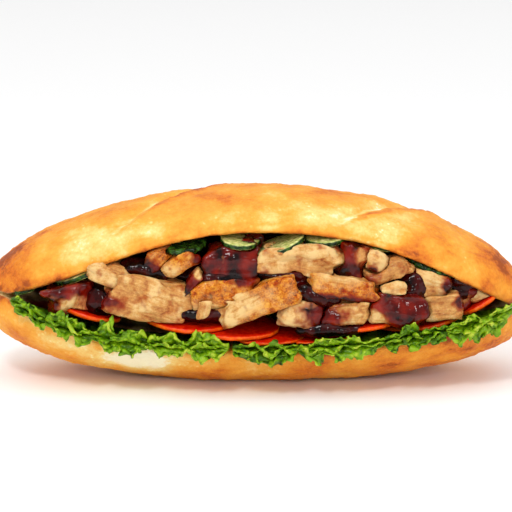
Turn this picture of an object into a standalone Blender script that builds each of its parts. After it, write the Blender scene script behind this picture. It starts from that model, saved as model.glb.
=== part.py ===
"""A banh mi sandwich: a crusty roll slit along its front and filled.

The roll lies along X with its slit towards -Y.  Frilly lettuce hangs over the
lower lip, thin carrot slices lie on it, grilled chicken fills the mouth and
cucumber slices sit under the upper half.  Units are metres, +Z is up, and the
origin is under the middle of the sandwich, on the surface that it rests on.
"""

import math
import random

import bmesh
import bpy
from mathutils import Matrix, Vector, noise
from mathutils.bvhtree import BVHTree

MM = 0.001

# The roll, outside
ROLL_LENGTH = 238.0 * MM
ROLL_DEPTH = 86.0 * MM
ROLL_HEIGHT = 82.5 * MM
LEFT_TIP_HEIGHT = 37.5 * MM
RIGHT_TIP_HEIGHT = 31.5 * MM
LEFT_TOP_FULLNESS = 1.75
RIGHT_TOP_FULLNESS = 1.87
BOTTOM_FULLNESS = 2.3
PLAN_FULLNESS = 2.2
SECTION_FULLNESS = 2.4
FOOT_CUT = 1.3 * MM

# The slit: its corners, lips and how far it reaches in
LEFT_CORNER = 109.0 * MM
RIGHT_CORNER = 112.5 * MM
CORNER_RISE = 2.0 * MM
UPPER_LIP_HEIGHT = 67.2 * MM
LOWER_LIP_HEIGHT = 20.0 * MM
HINGE_DEPTH = 21.0 * MM
SLIT_FULLNESS = 2.6
CEILING_RISE = 3.0 * MM
LIP_ROUNDING = 2.2 * MM

# The roll's mesh and the relief of its crust
STATIONS = 46
OUTER_POINTS = 22
INNER_POINTS = 8
CRUST_LUMP = 0.7 * MM
CRUST_LUMP_LENGTH = 17.0 * MM
SCORE_DEPTH = 2.4 * MM
SCORE_RIDGE = 0.3
SCORE_WIDTH = 5.0 * MM
SCORE_SLANT = 0.9
SCORES = (-36.0 * MM, 60.0 * MM)

# Room kept between touching pieces, and the most triangles that a cut piece keeps
GAP = 0.45 * MM
CHICKEN_FACES = {2: 150, 3: 250}
BED_FACES = 1000

# The leaves: LEAF_LYING_SHARE of each lies on the lower half, up to LEAF_BACK behind the lip
LEAF_THICKNESS = 0.8 * MM
LEAF_LIFT = 1.0 * MM
LEAF_WAVE = 8.5 * MM
LEAF_SWAY = 1.6 * MM
LEAF_LYING_SHARE = 0.4
LEAF_BACK = 18.0 * MM

# The slices, and how far their front edges stand back from the roll's front
CARROT_THICKNESS = 2.2 * MM
CARROT_SET_BACK = -2.0 * MM
CUCUMBER_THICKNESS = 2.4 * MM
CUCUMBER_SET_BACK = -0.5 * MM
SLICE_BOW = 0.03
SLICE_ROUNDING = 0.28

# The lumps of a chicken piece, as shares of its half size, and how close they lie
CHICKEN_BALL = 1.16
CHICKEN_TAPER = 0.22
CHICKEN_SHEAR = 0.25
BIG_LUMP, BIG_LUMP_RATE = 0.34, 1.1
SMALL_LUMP, SMALL_LUMP_RATE = 0.12, 2.7

# The bed behind the pieces: its reach along the roll, and its room to the lips and the front
BED_HALF_LENGTH = 101.0 * MM
BED_LOWEST = 34.0 * MM
BED_ABOVE_LOWER_LIP = 6.0 * MM
BED_BELOW_UPPER_LIP = 4.0 * MM
BED_LEAST_HEIGHT = 2.0 * MM
BED_SET_BACK = 11.0 * MM
BED_REACH = 0.68
BED_SQUARENESS = 0.6
BED_LUMP = 1.5 * MM
BED_LUMP_LENGTH = 9.0 * MM


def shape_power(t, outer, inner):
    """The curve (1 - |t|^outer)^inner, which falls from 1 to 0."""
    return max(0.0, 1.0 - abs(t) ** outer) ** inner


def side_value(x, left, right):
    """The value of the end of the roll that x is in."""
    return left if x < 0.0 else right


def roll_top(x):
    """Height of the top of the roll at x."""
    tip = side_value(x, LEFT_TIP_HEIGHT, RIGHT_TIP_HEIGHT)
    fullness = side_value(x, LEFT_TOP_FULLNESS, RIGHT_TOP_FULLNESS)
    return tip + (ROLL_HEIGHT - tip) * shape_power(2.0 * x / ROLL_LENGTH, fullness, 1.0 / fullness)


def roll_bottom(x):
    """Height of the underside of the roll at x, before its foot is cut flat."""
    tip = side_value(x, LEFT_TIP_HEIGHT, RIGHT_TIP_HEIGHT)
    belly = shape_power(2.0 * x / ROLL_LENGTH, BOTTOM_FULLNESS, 1.0 / BOTTOM_FULLNESS)
    return tip * (1.0 - belly) - FOOT_CUT


def roll_half_depth(x):
    """Half the depth of the roll at x, seen from above."""
    return 0.5 * ROLL_DEPTH * shape_power(2.0 * x / ROLL_LENGTH, PLAN_FULLNESS, 1.0 / PLAN_FULLNESS)


def slit_place(x):
    """How far x is from the middle of the slit, as a share: 1 at its corners."""
    return x / side_value(x, LEFT_CORNER, RIGHT_CORNER)


def corner_height(x):
    """Height of the slit's corner on the side of x, and past it down to the tip."""
    corner = side_value(x, LEFT_CORNER, RIGHT_CORNER)
    past = max(0.0, abs(x) - corner) / (0.5 * ROLL_LENGTH - corner)
    return side_value(x, LEFT_TIP_HEIGHT, RIGHT_TIP_HEIGHT) + CORNER_RISE * (1.0 - past)


def upper_lip(x):
    """Height of the upper lip at x: a steep arch on the left, a fuller one on the right."""
    outer, inner = side_value(x, (2.0, 1.6), (2.4, 1.3))
    corner = corner_height(x)
    return corner + (UPPER_LIP_HEIGHT - corner) * shape_power(slit_place(x), outer, inner)


def lower_lip(x):
    """Height of the lower lip at x, almost level and rising to the corners."""
    rise = min(1.0, abs(slit_place(x))) ** side_value(x, 3.4, 2.4)
    return LOWER_LIP_HEIGHT + (corner_height(x) - LOWER_LIP_HEIGHT) * rise


def slit_half_height(x):
    """Half the opening between the lips; past the corners a mere crease is left."""
    crease = 0.035 * roll_half_depth(x)
    return max(crease, 0.5 * (upper_lip(x) - lower_lip(x)))


def slit_middle(x):
    """Height midway between the lips."""
    return 0.5 * (upper_lip(x) + lower_lip(x))


def front_face(x, z):
    """The y of the roll's front surface at height z."""
    middle = 0.5 * (roll_top(x) + roll_bottom(x))
    half = 0.5 * (roll_top(x) - roll_bottom(x))
    return -roll_half_depth(x) * shape_power(min(1.0, abs(z - middle) / half), SECTION_FULLNESS,
                                             1.0 / SECTION_FULLNESS)


def slit_depth(x):
    """How far the slit reaches in behind the lips."""
    reach = shape_power(min(1.0, abs(slit_place(x))), 3.0, 0.6)
    crease = 0.1 * roll_half_depth(x)
    full = 0.5 * ROLL_DEPTH + HINGE_DEPTH
    return max(crease, full * reach * roll_half_depth(x) / (0.5 * ROLL_DEPTH))


def ceiling_rise(x, behind):
    """How far the soft ceiling is hollowed above its lip, at a share of the slit's depth."""
    wide = min(1.0, slit_half_height(x) / (0.3 * ROLL_HEIGHT))
    return CEILING_RISE * wide * 4.0 * behind * max(0.0, 1.0 - behind)


def slit_floor(x, y):
    """Height of the slit's floor at x and y."""
    behind = (y - front_face(x, slit_middle(x) - slit_half_height(x))) / slit_depth(x)
    share = shape_power(min(1.0, max(0.0, behind)), SLIT_FULLNESS, 1.0 / SLIT_FULLNESS)
    return slit_middle(x) - slit_half_height(x) * share


def power_of(value, power):
    """value to a power, with its sign kept."""
    return math.copysign(abs(value) ** power, value)


def roll_section(x):
    """The closed outline of the roll at x, as (y, z) points.

    It runs from the lower lip under the roll, up its back and over its top to
    the upper lip, and then through the slit back to the lower lip.
    """
    middle = 0.5 * (roll_top(x) + roll_bottom(x))
    half = 0.5 * (roll_top(x) - roll_bottom(x))
    depth = roll_half_depth(x)
    low = slit_middle(x) - slit_half_height(x)
    high = slit_middle(x) + slit_half_height(x)
    rounding = min(LIP_ROUNDING, 0.06 * depth)

    def lip_angle(z):
        """The section's angle at height z, above the level through its front."""
        share = max(-1.0, min(1.0, (z - middle) / half))
        return math.asin(power_of(share, 0.5 * SECTION_FULLNESS))

    start = math.pi - lip_angle(low - rounding)
    end = 3.0 * math.pi - lip_angle(high + rounding)
    points = []
    for i in range(OUTER_POINTS):
        angle = start + (end - start) * i / (OUTER_POINTS - 1)
        points.append((depth * power_of(math.cos(angle), 2.0 / SECTION_FULLNESS),
                       middle + half * power_of(math.sin(angle), 2.0 / SECTION_FULLNESS)))
    for i in range(INNER_POINTS):
        angle = 0.5 * math.pi - math.pi * (i + 0.35) / (INNER_POINTS - 0.3)
        mouth = front_face(x, high if angle > 0.0 else low)
        reach = abs(math.cos(angle)) ** (2.0 / SLIT_FULLNESS)
        height = slit_half_height(x) * power_of(math.sin(angle), 2.0 / SLIT_FULLNESS)
        if angle > 0.0:
            height += ceiling_rise(x, reach)
        points.append((mouth + slit_depth(x) * reach, slit_middle(x) + height))
    return points


def crust_relief(point, normal):
    """How far the crust stands out at a point: soft lumps and the two score cuts on top."""
    lumps = noise.noise(point / CRUST_LUMP_LENGTH) * CRUST_LUMP
    on_top = max(0.0, normal.z) ** 2
    score = 0.0
    for place in SCORES:
        across = (point.x - place - SCORE_SLANT * point.y) / SCORE_WIDTH
        score += math.exp(-across ** 2) - SCORE_RIDGE * math.exp(-(across - 1.6) ** 2)
    return lumps - SCORE_DEPTH * score * on_top


def new_part(name, mesh, material, collection):
    """A named object of the sandwich with one material."""
    part = bpy.data.objects.new(name, mesh)
    mesh.materials.clear()
    mesh.materials.append(material)
    collection.objects.link(part)
    return part


def finished_mesh(name, bm, smooth_angle=50.0):
    """A shaded mesh from a bmesh, with its faces split into triangles and a closed one's turned outwards."""
    if all(edge.is_manifold for edge in bm.edges):
        bmesh.ops.recalc_face_normals(bm, faces=bm.faces[:])
    bmesh.ops.triangulate(bm, faces=bm.faces[:])
    mesh = bpy.data.meshes.new(name)
    bm.to_mesh(mesh)
    bm.free()
    mesh.shade_smooth()
    mesh.set_sharp_from_angle(angle=math.radians(smooth_angle))
    return mesh


def apply_modifiers(part):
    """Give a part the mesh that its modifiers make, and remove them."""
    seen = part.evaluated_get(bpy.context.evaluated_depsgraph_get())
    mesh = bpy.data.meshes.new_from_object(seen)
    part.modifiers.clear()
    part.data = mesh


def roll_mesh():
    """The slit roll: a loft through its sections, closed at both tips."""
    bm = bmesh.new()
    rings = []
    for i in range(STATIONS):
        turn = math.pi * (i + 0.6) / (STATIONS + 0.2) - 0.5 * math.pi
        x = 0.5 * ROLL_LENGTH * math.sin(turn)
        rings.append([bm.verts.new((x, y, z)) for y, z in roll_section(x)])
    for ring, following in zip(rings, rings[1:]):
        for i in range(len(ring)):
            j = (i + 1) % len(ring)
            bm.faces.new((ring[i], following[i], following[j], ring[j]))
    for ring, sign in ((rings[0], -1.0), (rings[-1], 1.0)):
        tip_height = LEFT_TIP_HEIGHT if sign < 0.0 else RIGHT_TIP_HEIGHT
        tip = bm.verts.new((sign * 0.5 * ROLL_LENGTH, 0.0, tip_height))
        for i in range(len(ring)):
            bm.faces.new((ring[i], ring[(i + 1) % len(ring)], tip))
    bmesh.ops.recalc_face_normals(bm, faces=bm.faces[:])
    bm.normal_update()
    for vert in bm.verts:
        at_front = vert.co.y < front_face(vert.co.x, vert.co.z) + LIP_ROUNDING
        if at_front or vert.co.z > upper_lip(vert.co.x) or vert.normal.y > 0.0:
            vert.co += vert.normal * crust_relief(vert.co, vert.normal)
        vert.co.z = max(0.0, vert.co.z)
    return finished_mesh("bread", bm)


def leaf_mesh(name, left, right, columns, rows, rise, droop, reach, seed):
    """A frilly leaf that lies on the lower half and hangs over its lip.

    left and right bound it along the roll; its free edge waves between rise
    above the lip and droop below it, and reach is how far it stands out.
    """
    draw = random.Random(seed)
    phase = draw.uniform(0.0, 2.0 * math.pi)
    waves = (right - left) / LEAF_WAVE
    bm = bmesh.new()
    bmesh.ops.create_grid(bm, x_segments=columns, y_segments=rows, size=0.5)
    for vert in bm.verts:
        u = vert.co.x + 0.5
        s = 0.5 - vert.co.y
        x = left + (right - left) * u
        inner = max(0.0, 1.0 - s / LEAF_LYING_SHARE)
        out = max(0.0, (s - LEAF_LYING_SHARE) / (1.0 - LEAF_LYING_SHARE))
        wave = 0.65 * math.sin(2.0 * math.pi * waves * u + phase) + 0.35 * math.sin(4.4 * math.pi * waves * u)
        ends = 1.0 - 0.4 * abs(2.0 * u - 1.0) ** 4
        front = front_face(x, lower_lip(x))
        lies_back = min(LEAF_BACK, 0.5 * slit_depth(x))
        y = front + lies_back * inner - reach * ends * math.sin(0.5 * math.pi * out)
        hang = out ** 1.4 * (0.5 * (rise + droop) * wave + 0.5 * (rise - droop)) * ends
        z = slit_floor(x, y) + 0.5 * LEAF_THICKNESS + LEAF_LIFT + hang
        sway = out * (1.0 - abs(2.0 * u - 1.0) ** 4) * math.cos(4.0 * math.pi * waves * u + phase)
        vert.co = Vector((x + LEAF_SWAY * sway, y - 0.6 * LEAF_SWAY * (out + sway * out), z))
    return finished_mesh(name, bm)


def slice_mesh(name, centre, half_length, half_depth, thickness, tilt, lean, sides, seed):
    """A thin round or oval slice.

    tilt raises its right end and lean raises its back edge, both in degrees.
    """
    draw = random.Random(seed)
    phase = draw.uniform(0.0, 2.0 * math.pi)
    bm = bmesh.new()
    bmesh.ops.create_cone(bm, cap_ends=True, segments=sides, radius1=1.0, radius2=1.0, depth=1.0)
    rims = [edge for edge in bm.edges if abs(edge.verts[0].co.z - edge.verts[1].co.z) < 0.5]
    for vert in bm.verts:
        angle = math.atan2(vert.co.y, vert.co.x)
        wobble = 1.0 + 0.03 * math.sin(2.0 * angle + phase) + 0.02 * math.sin(5.0 * angle - phase)
        vert.co = Vector((half_length * wobble * vert.co.x, half_depth * wobble * vert.co.y,
                          thickness * vert.co.z))
    bmesh.ops.bevel(bm, geom=rims, offset=SLICE_ROUNDING * thickness, segments=1, profile=0.5,
                    affect="EDGES", material=-1)
    turn = Matrix.Rotation(math.radians(-tilt), 3, "Y") @ Matrix.Rotation(math.radians(lean), 3, "X")
    for vert in bm.verts:
        bow = SLICE_BOW * half_length * (vert.co.x / half_length) ** 2
        vert.co = Vector(centre) + turn @ (vert.co + Vector((0.0, 0.0, bow)))
    return finished_mesh(name, bm, 30.0)


def chicken_mesh(name, centre, size, tilt, yaw, roundness, bend, cuts, seed):
    """A torn piece of grilled chicken: a lumpy block, more or less rounded and bent.

    size is its length, depth and height; tilt raises its right end and yaw
    turns it seen from above, in degrees; bend lifts its middle, as a share of
    its height.
    """
    draw = random.Random(seed)
    shift = Vector((draw.uniform(0.0, 50.0), draw.uniform(0.0, 50.0), draw.uniform(0.0, 50.0)))
    taper = draw.uniform(-CHICKEN_TAPER, CHICKEN_TAPER)
    shear = draw.uniform(-CHICKEN_SHEAR, CHICKEN_SHEAR)
    bm = bmesh.new()
    bmesh.ops.create_cube(bm, size=2.0)
    bmesh.ops.subdivide_edges(bm, edges=bm.edges[:], cuts=cuts, use_grid_fill=True)
    turn = Matrix.Rotation(math.radians(yaw), 3, "Z") @ Matrix.Rotation(math.radians(-tilt), 3, "Y")
    half = Vector(size) * 0.5
    for vert in bm.verts:
        ball = vert.co.normalized() * CHICKEN_BALL
        spot = vert.co.lerp(ball, roundness)
        lump = BIG_LUMP * noise.noise(spot * BIG_LUMP_RATE + shift)
        lump += SMALL_LUMP * noise.noise(spot * SMALL_LUMP_RATE + shift)
        spot = spot * (1.0 + lump)
        spot.z = spot.z * (1.0 + taper * spot.x) - bend * (spot.x ** 2 - 0.5)
        spot.x += shear * spot.z
        vert.co = Vector(centre) + turn @ Vector((spot.x * half.x, spot.y * half.y, spot.z * half.z))
    return finished_mesh(name, bm, 40.0)


def bed_mesh(name):
    """The chicken and sauce behind the pieces that show, through the slit from end to end."""
    bm = bmesh.new()
    bmesh.ops.create_uvsphere(bm, u_segments=18, v_segments=14, radius=1.0)
    for vert in bm.verts:
        x = BED_HALF_LENGTH * vert.co.z
        low = max(lower_lip(x) + BED_ABOVE_LOWER_LIP, BED_LOWEST)
        high = max(low + BED_LEAST_HEIGHT, upper_lip(x) - BED_BELOW_UPPER_LIP)
        front = front_face(x, 0.5 * (low + high)) + BED_SET_BACK
        back = front + BED_REACH * slit_depth(x)
        girth = math.hypot(vert.co.x, vert.co.y)
        fuller = girth ** (BED_SQUARENESS - 1.0) if girth > 1e-4 else 0.0
        spot = Vector((x, 0.5 * (front + back) + 0.5 * (back - front) * vert.co.y * fuller,
                       0.5 * (low + high) + 0.5 * (high - low) * vert.co.x * fuller))
        lump = noise.noise(spot / BED_LUMP_LENGTH) * BED_LUMP
        vert.co = spot + Vector((0.0, lump, lump))
    return finished_mesh(name, bm)


def tree_of(part):
    """A search tree of a part's faces."""
    points = [vert.co for vert in part.data.vertices]
    return BVHTree.FromPolygons(points, [face.vertices[:] for face in part.data.polygons])


def meets(part, other):
    """Whether two parts' surfaces come within reach of each other."""
    reach = 2.0 * GAP
    lows = [min(v.co[k] for v in part.data.vertices) for k in range(3)]
    highs = [max(v.co[k] for v in part.data.vertices) for k in range(3)]
    for k in range(3):
        low = min(v.co[k] for v in other.data.vertices) - reach
        high = max(v.co[k] for v in other.data.vertices) + reach
        if low > highs[k] or high < lows[k]:
            return False
    return True


def swollen_copy(part, collection):
    """A cutter: a copy of a part that stands out by the gap all over."""
    cutter = bpy.data.objects.new(part.name + "_cutter", part.data.copy())
    collection.objects.link(cutter)
    cutter.hide_render = True
    cutter.display_type = "WIRE"
    bm = bmesh.new()
    bm.from_mesh(cutter.data)
    bm.normal_update()
    for vert in bm.verts:
        vert.co += vert.normal * GAP
    bm.to_mesh(cutter.data)
    bm.free()
    return cutter


def keep_largest_body(mesh):
    """Drop the loose scraps that a cut leaves, and keep the largest body."""
    bm = bmesh.new()
    bm.from_mesh(mesh)
    unseen = set(bm.verts)
    bodies = []
    while unseen:
        edge_of_search = [unseen.pop()]
        body = set(edge_of_search)
        while edge_of_search:
            for edge in edge_of_search.pop().link_edges:
                for vert in edge.verts:
                    if vert in unseen:
                        unseen.discard(vert)
                        body.add(vert)
                        edge_of_search.append(vert)
        bodies.append(body)
    largest = max(bodies, key=len)
    bmesh.ops.delete(bm, geom=[v for v in bm.verts if v not in largest], context="VERTS")
    bmesh.ops.triangulate(bm, faces=bm.faces[:])
    bm.to_mesh(mesh)
    bm.free()


def fit_round(part, neighbours, cutters):
    """Cut a part back where it would cross its neighbours, leaving the gap between them."""
    for other in neighbours:
        if not meets(part, other):
            continue
        cutter = swollen_copy(other, cutters)
        if tree_of(part).overlap(tree_of(cutter)):
            cut = part.modifiers.new("room", "BOOLEAN")
            cut.operation = "DIFFERENCE"
            cut.solver = "MANIFOLD"
            cut.object = cutter
            apply_modifiers(part)
            keep_largest_body(part.data)
        bpy.data.objects.remove(cutter)


def simplify(part, most_faces):
    """Join small cut faces until a part has no more triangles than most_faces."""
    faces = len(part.data.polygons)
    if faces <= most_faces:
        return
    fewer = part.modifiers.new("fewer", "DECIMATE")
    fewer.ratio = most_faces / faces
    fewer.use_collapse_triangulate = True
    apply_modifiers(part)
    keep_largest_body(part.data)


def plain_material(name, colour, roughness):
    """A Principled material of one colour."""
    material = bpy.data.materials.new(name)
    material.use_nodes = True
    shader = material.node_tree.nodes["Principled BSDF"]
    shader.inputs["Base Color"].default_value = (*colour, 1.0)
    shader.inputs["Roughness"].default_value = roughness
    shader.inputs["Metallic"].default_value = 0.0
    material.diffuse_color = (*colour, 1.0)
    return material


def crust_material():
    """Golden crust."""
    return plain_material("bread_crust", (0.80, 0.47, 0.15), 0.55)


def lettuce_material():
    """Bright lettuce green."""
    return plain_material("lettuce_leaf", (0.28, 0.50, 0.05), 0.4)


def carrot_material():
    """Red-orange carrot."""
    return plain_material("carrot_flesh", (0.80, 0.14, 0.02), 0.35)


def cucumber_material():
    """Dark green rind."""
    return plain_material("cucumber_rind", (0.05, 0.13, 0.03), 0.35)


def pale_chicken_material():
    """Pale inner meat."""
    return plain_material("chicken_meat", (0.72, 0.45, 0.25), 0.5)


def seared_chicken_material():
    """Golden to brown skin."""
    return plain_material("chicken_seared", (0.55, 0.24, 0.06), 0.4)


def glazed_chicken_material():
    """Meat under dark sauce."""
    return plain_material("chicken_glazed", (0.14, 0.02, 0.01), 0.2)


# Each leaf: name, left, right, columns, rise, droop, reach, seed (lengths in mm)
LEAVES = (
    ("lettuce_1", -103.5, -89.0, 9, 6.0, 6.0, 3.2, 1),
    ("lettuce_2", -88.2, -67.0, 12, 7.0, 5.0, 4.2, 2),
    ("lettuce_3", -66.2, -46.0, 12, 6.5, 6.5, 4.8, 3),
    ("lettuce_4", -45.2, -12.0, 15, 7.5, 5.0, 4.4, 4),
    ("lettuce_5", -9.0, 17.0, 13, 3.0, 9.0, 5.0, 5),
    ("lettuce_6", 18.0, 53.0, 15, 3.5, 8.5, 5.2, 6),
    ("lettuce_7", 54.0, 80.0, 13, 4.5, 8.0, 4.8, 7),
    ("lettuce_8", 81.0, 109.0, 13, 3.0, 12.0, 4.6, 8),
)
LEAF_ROWS = 5

# Each carrot slice: name, x, z, half length, half depth, tilt, lean, seed
CARROTS = (
    ("carrot_1", -71.0, 33.0, 14.0, 11.0, -15.0, 2.0, 11),
    ("carrot_2", -29.5, 29.8, 19.0, 16.0, -4.0, 6.0, 12),
    ("carrot_3", -10.0, 26.8, 20.0, 17.0, -3.0, 6.0, 13),
    ("carrot_4", 5.0, 24.0, 17.0, 16.0, -2.0, 6.0, 14),
    ("carrot_5", 27.0, 23.0, 15.0, 14.0, 1.0, 4.0, 15),
    ("carrot_6", 44.0, 28.6, 16.5, 15.0, 4.0, 1.0, 16),
    ("carrot_7", 70.0, 27.8, 18.0, 15.0, 9.0, 2.0, 17),
    ("carrot_8", 95.5, 35.0, 9.0, 8.0, 30.0, 0.0, 18),
)
CARROT_SIDES = 20

# Each cucumber slice: name, x, z, half length, half depth, tilt, lean, seed
CUCUMBERS = (
    ("cucumber_1", -71.5, 50.5, 14.5, 10.0, 25.0, 4.0, 21),
    ("cucumber_2", -30.0, 62.4, 9.5, 12.0, 5.0, 9.0, 22),
    ("cucumber_3", -6.5, 64.4, 9.0, 12.0, -4.0, 7.0, 23),
    ("cucumber_4", 10.0, 62.2, 12.0, 11.0, 20.0, 5.0, 24),
    ("cucumber_5", 29.0, 65.0, 9.5, 12.0, 3.0, 7.0, 25),
    ("cucumber_6", 53.0, 62.4, 8.0, 11.0, -12.0, 5.0, 26),
    ("cucumber_7", 73.0, 52.8, 13.0, 10.0, -24.0, 5.0, 27),
    ("cucumber_8", -99.0, 41.0, 5.0, 5.0, 12.0, 0.0, 28),
)
CUCUMBER_SIDES = 16

# Each piece: name, finish, x, y, z, length, depth, height, tilt, yaw, roundness, bend, cuts, seed
CHICKEN = (
    ("chicken_01", "glazed", -77.0, -26.0, 39.4, 23.0, 15.0, 13.0, 12.0, 6.0, 0.55, 0.1, 3, 31),
    ("chicken_02", "pale", -62.0, -30.0, 50.5, 19.0, 13.0, 10.5, -16.0, 0.0, 0.65, 0.25, 2, 32),
    ("chicken_03", "pale", -44.0, -32.0, 40.5, 40.0, 15.0, 18.5, -12.0, 0.0, 0.45, 0.1, 3, 33),
    ("chicken_04", "seared", -41.0, -30.0, 58.0, 17.0, 10.0, 7.5, 52.0, 0.0, 0.5, 0.2, 2, 34),
    ("chicken_05", "seared", -31.5, -33.0, 55.5, 15.5, 11.0, 9.0, 34.0, 0.0, 0.6, 0.1, 2, 35),
    ("chicken_06", "glazed", -27.0, -36.0, 47.0, 14.5, 7.0, 4.2, 55.0, 0.0, 0.4, 0.3, 2, 36),
    ("chicken_07", "glazed", -11.0, -29.0, 56.0, 25.0, 15.0, 17.0, 4.0, 4.0, 0.6, 0.0, 3, 37),
    ("chicken_08", "seared", -14.0, -35.0, 43.8, 29.0, 13.0, 12.5, 4.0, 0.0, 0.5, 0.15, 2, 38),
    ("chicken_09", "seared", 1.5, -38.5, 41.0, 36.0, 11.0, 13.0, 20.0, -4.0, 0.45, 0.15, 3, 39),
    ("chicken_10", "pale", -21.5, -39.0, 37.4, 6.5, 7.0, 7.8, 5.0, 8.0, 0.35, 0.0, 2, 40),
    ("chicken_11", "pale", 18.0, -31.0, 57.2, 35.0, 15.0, 12.6, -2.0, 3.0, 0.45, 0.12, 3, 41),
    ("chicken_12", "glazed", 40.5, -30.5, 56.2, 12.0, 12.0, 16.0, -8.0, 0.0, 0.45, 0.0, 2, 42),
    ("chicken_13", "pale", 49.5, -33.0, 57.0, 10.0, 10.0, 9.0, -30.0, 0.0, 0.85, 0.0, 2, 43),
    ("chicken_14", "pale", 55.5, -31.0, 52.5, 20.0, 12.0, 10.0, 14.0, 0.0, 0.55, 0.1, 2, 44),
    ("chicken_15", "seared", 37.5, -36.0, 46.2, 30.0, 12.0, 10.5, -7.0, 0.0, 0.4, 0.1, 2, 45),
    ("chicken_16", "pale", 58.0, -36.0, 45.6, 10.5, 8.0, 5.6, 0.0, 0.0, 0.45, 0.1, 2, 46),
    ("chicken_17", "pale", 19.5, -36.5, 35.0, 18.0, 12.0, 13.0, -12.0, 4.0, 0.4, 0.1, 2, 47),
    ("chicken_18", "pale", 38.0, -36.0, 35.2, 21.0, 12.0, 11.5, 4.0, -4.0, 0.55, 0.1, 2, 48),
    ("chicken_19", "glazed", 59.5, -34.0, 36.0, 24.0, 14.0, 15.5, -6.0, 0.0, 0.55, 0.0, 3, 49),
    ("chicken_20", "pale", 73.5, -27.0, 45.8, 17.0, 12.0, 12.5, -14.0, 0.0, 0.6, 0.1, 2, 50),
    ("chicken_21", "pale", 78.0, -30.0, 36.2, 19.0, 12.0, 12.0, 4.0, 0.0, 0.55, 0.1, 2, 51),
    ("chicken_22", "glazed", 87.5, -21.0, 46.6, 11.0, 9.0, 8.0, -10.0, 0.0, 0.7, 0.1, 2, 52),
    ("chicken_23", "pale", 96.0, -19.0, 40.0, 12.5, 9.0, 10.0, -14.0, 0.0, 0.4, 0.0, 2, 53),
    ("chicken_24", "glazed", 86.5, -19.0, 37.0, 14.0, 11.0, 12.0, 0.0, 0.0, 0.6, 0.0, 2, 54),
)


def lay_leaves(parts):
    """All the leaves, from left to right."""
    leaf = lettuce_material()
    for name, left, right, columns, rise, droop, reach, seed in LEAVES:
        mesh = leaf_mesh(name, left * MM, right * MM, columns, LEAF_ROWS, rise * MM, droop * MM,
                         reach * MM, seed)
        part = new_part(name, mesh, leaf, parts)
        body = part.modifiers.new("thickness", "SOLIDIFY")
        body.thickness = LEAF_THICKNESS
        body.offset = 0.0
        apply_modifiers(part)


def lay_slices(parts, rows, thickness, sides, material, back_set):
    """Slices whose front edges stay back_set inside the lips' line."""
    for name, x, z, half_length, half_depth, tilt, lean, seed in rows:
        front = max(front_face(x * MM, z * MM), front_face((x - 0.6 * half_length) * MM, z * MM),
                    front_face((x + 0.6 * half_length) * MM, z * MM))
        centre = (x * MM, front + back_set + half_depth * MM, z * MM)
        mesh = slice_mesh(name, centre, half_length * MM, half_depth * MM, thickness, tilt, lean, sides, seed)
        new_part(name, mesh, material, parts)


def lay_chicken(parts):
    """The pieces of chicken that show, and the bed behind them."""
    finishes = {
        "pale": pale_chicken_material(),
        "seared": seared_chicken_material(),
        "glazed": glazed_chicken_material(),
    }
    for name, finish, x, y, z, length, depth, height, tilt, yaw, roundness, bend, cuts, seed in CHICKEN:
        mesh = chicken_mesh(name, (x * MM, y * MM, z * MM), (length * MM, depth * MM, height * MM),
                            tilt, yaw, roundness, bend, cuts, seed)
        new_part(name, mesh, finishes[finish], parts)
    new_part("chicken_bed", bed_mesh("chicken_bed"), finishes["glazed"], parts)


def fit_fillings(parts, cutters):
    """Cut each softer piece round those that it lies against, the front ones keeping their shape."""
    most_faces = {row[0]: CHICKEN_FACES[row[-2]] for row in CHICKEN}
    most_faces["chicken_bed"] = BED_FACES
    placed = []
    order = ["bread"]
    for rows in (LEAVES, CARROTS, CUCUMBERS, CHICKEN):
        order += [row[0] for row in rows]
    order.append("chicken_bed")
    for name in order:
        part = parts.objects[name]
        fit_round(part, placed, cutters)
        simplify(part, most_faces.get(name, len(part.data.polygons)))
        placed.append(part)


def centre_on_origin(parts):
    """Move the whole sandwich so that the origin is under the middle of its box."""
    points = [vert.co for part in parts.objects for vert in part.data.vertices]
    middle_x = 0.5 * (min(p.x for p in points) + max(p.x for p in points))
    middle_y = 0.5 * (min(p.y for p in points) + max(p.y for p in points))
    for part in parts.objects:
        part.data.transform(Matrix.Translation((-middle_x, -middle_y, 0.0)))


def main():
    """Build the sandwich."""
    for old in list(bpy.data.objects):
        bpy.data.objects.remove(old, do_unlink=True)
    parts = bpy.data.collections.new("banh_mi_sandwich")
    cutters = bpy.data.collections.new("cutters")
    bpy.context.scene.collection.children.link(parts)
    bpy.context.scene.collection.children.link(cutters)
    new_part("bread", roll_mesh(), crust_material(), parts)
    lay_leaves(parts)
    lay_slices(parts, CARROTS, CARROT_THICKNESS, CARROT_SIDES, carrot_material(), CARROT_SET_BACK)
    lay_slices(parts, CUCUMBERS, CUCUMBER_THICKNESS, CUCUMBER_SIDES, cucumber_material(), CUCUMBER_SET_BACK)
    lay_chicken(parts)
    fit_fillings(parts, cutters)
    centre_on_origin(parts)


main()
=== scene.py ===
"""Looks of the banh mi sandwich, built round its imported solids.

A golden crusty roll is slit along its front.  Frilly lettuce hangs over its
lower lip, carrot slices lie on the leaves, torn grilled chicken with a dark
glaze fills the mouth and cucumber slices sit under the upper half.  Every
piece stands where its solid stands.  Lengths are in metres.
"""

import logging
import math
import random
from dataclasses import dataclass
from enum import Enum

import bmesh
import bpy
from mathutils import Matrix, Vector, noise


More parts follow.
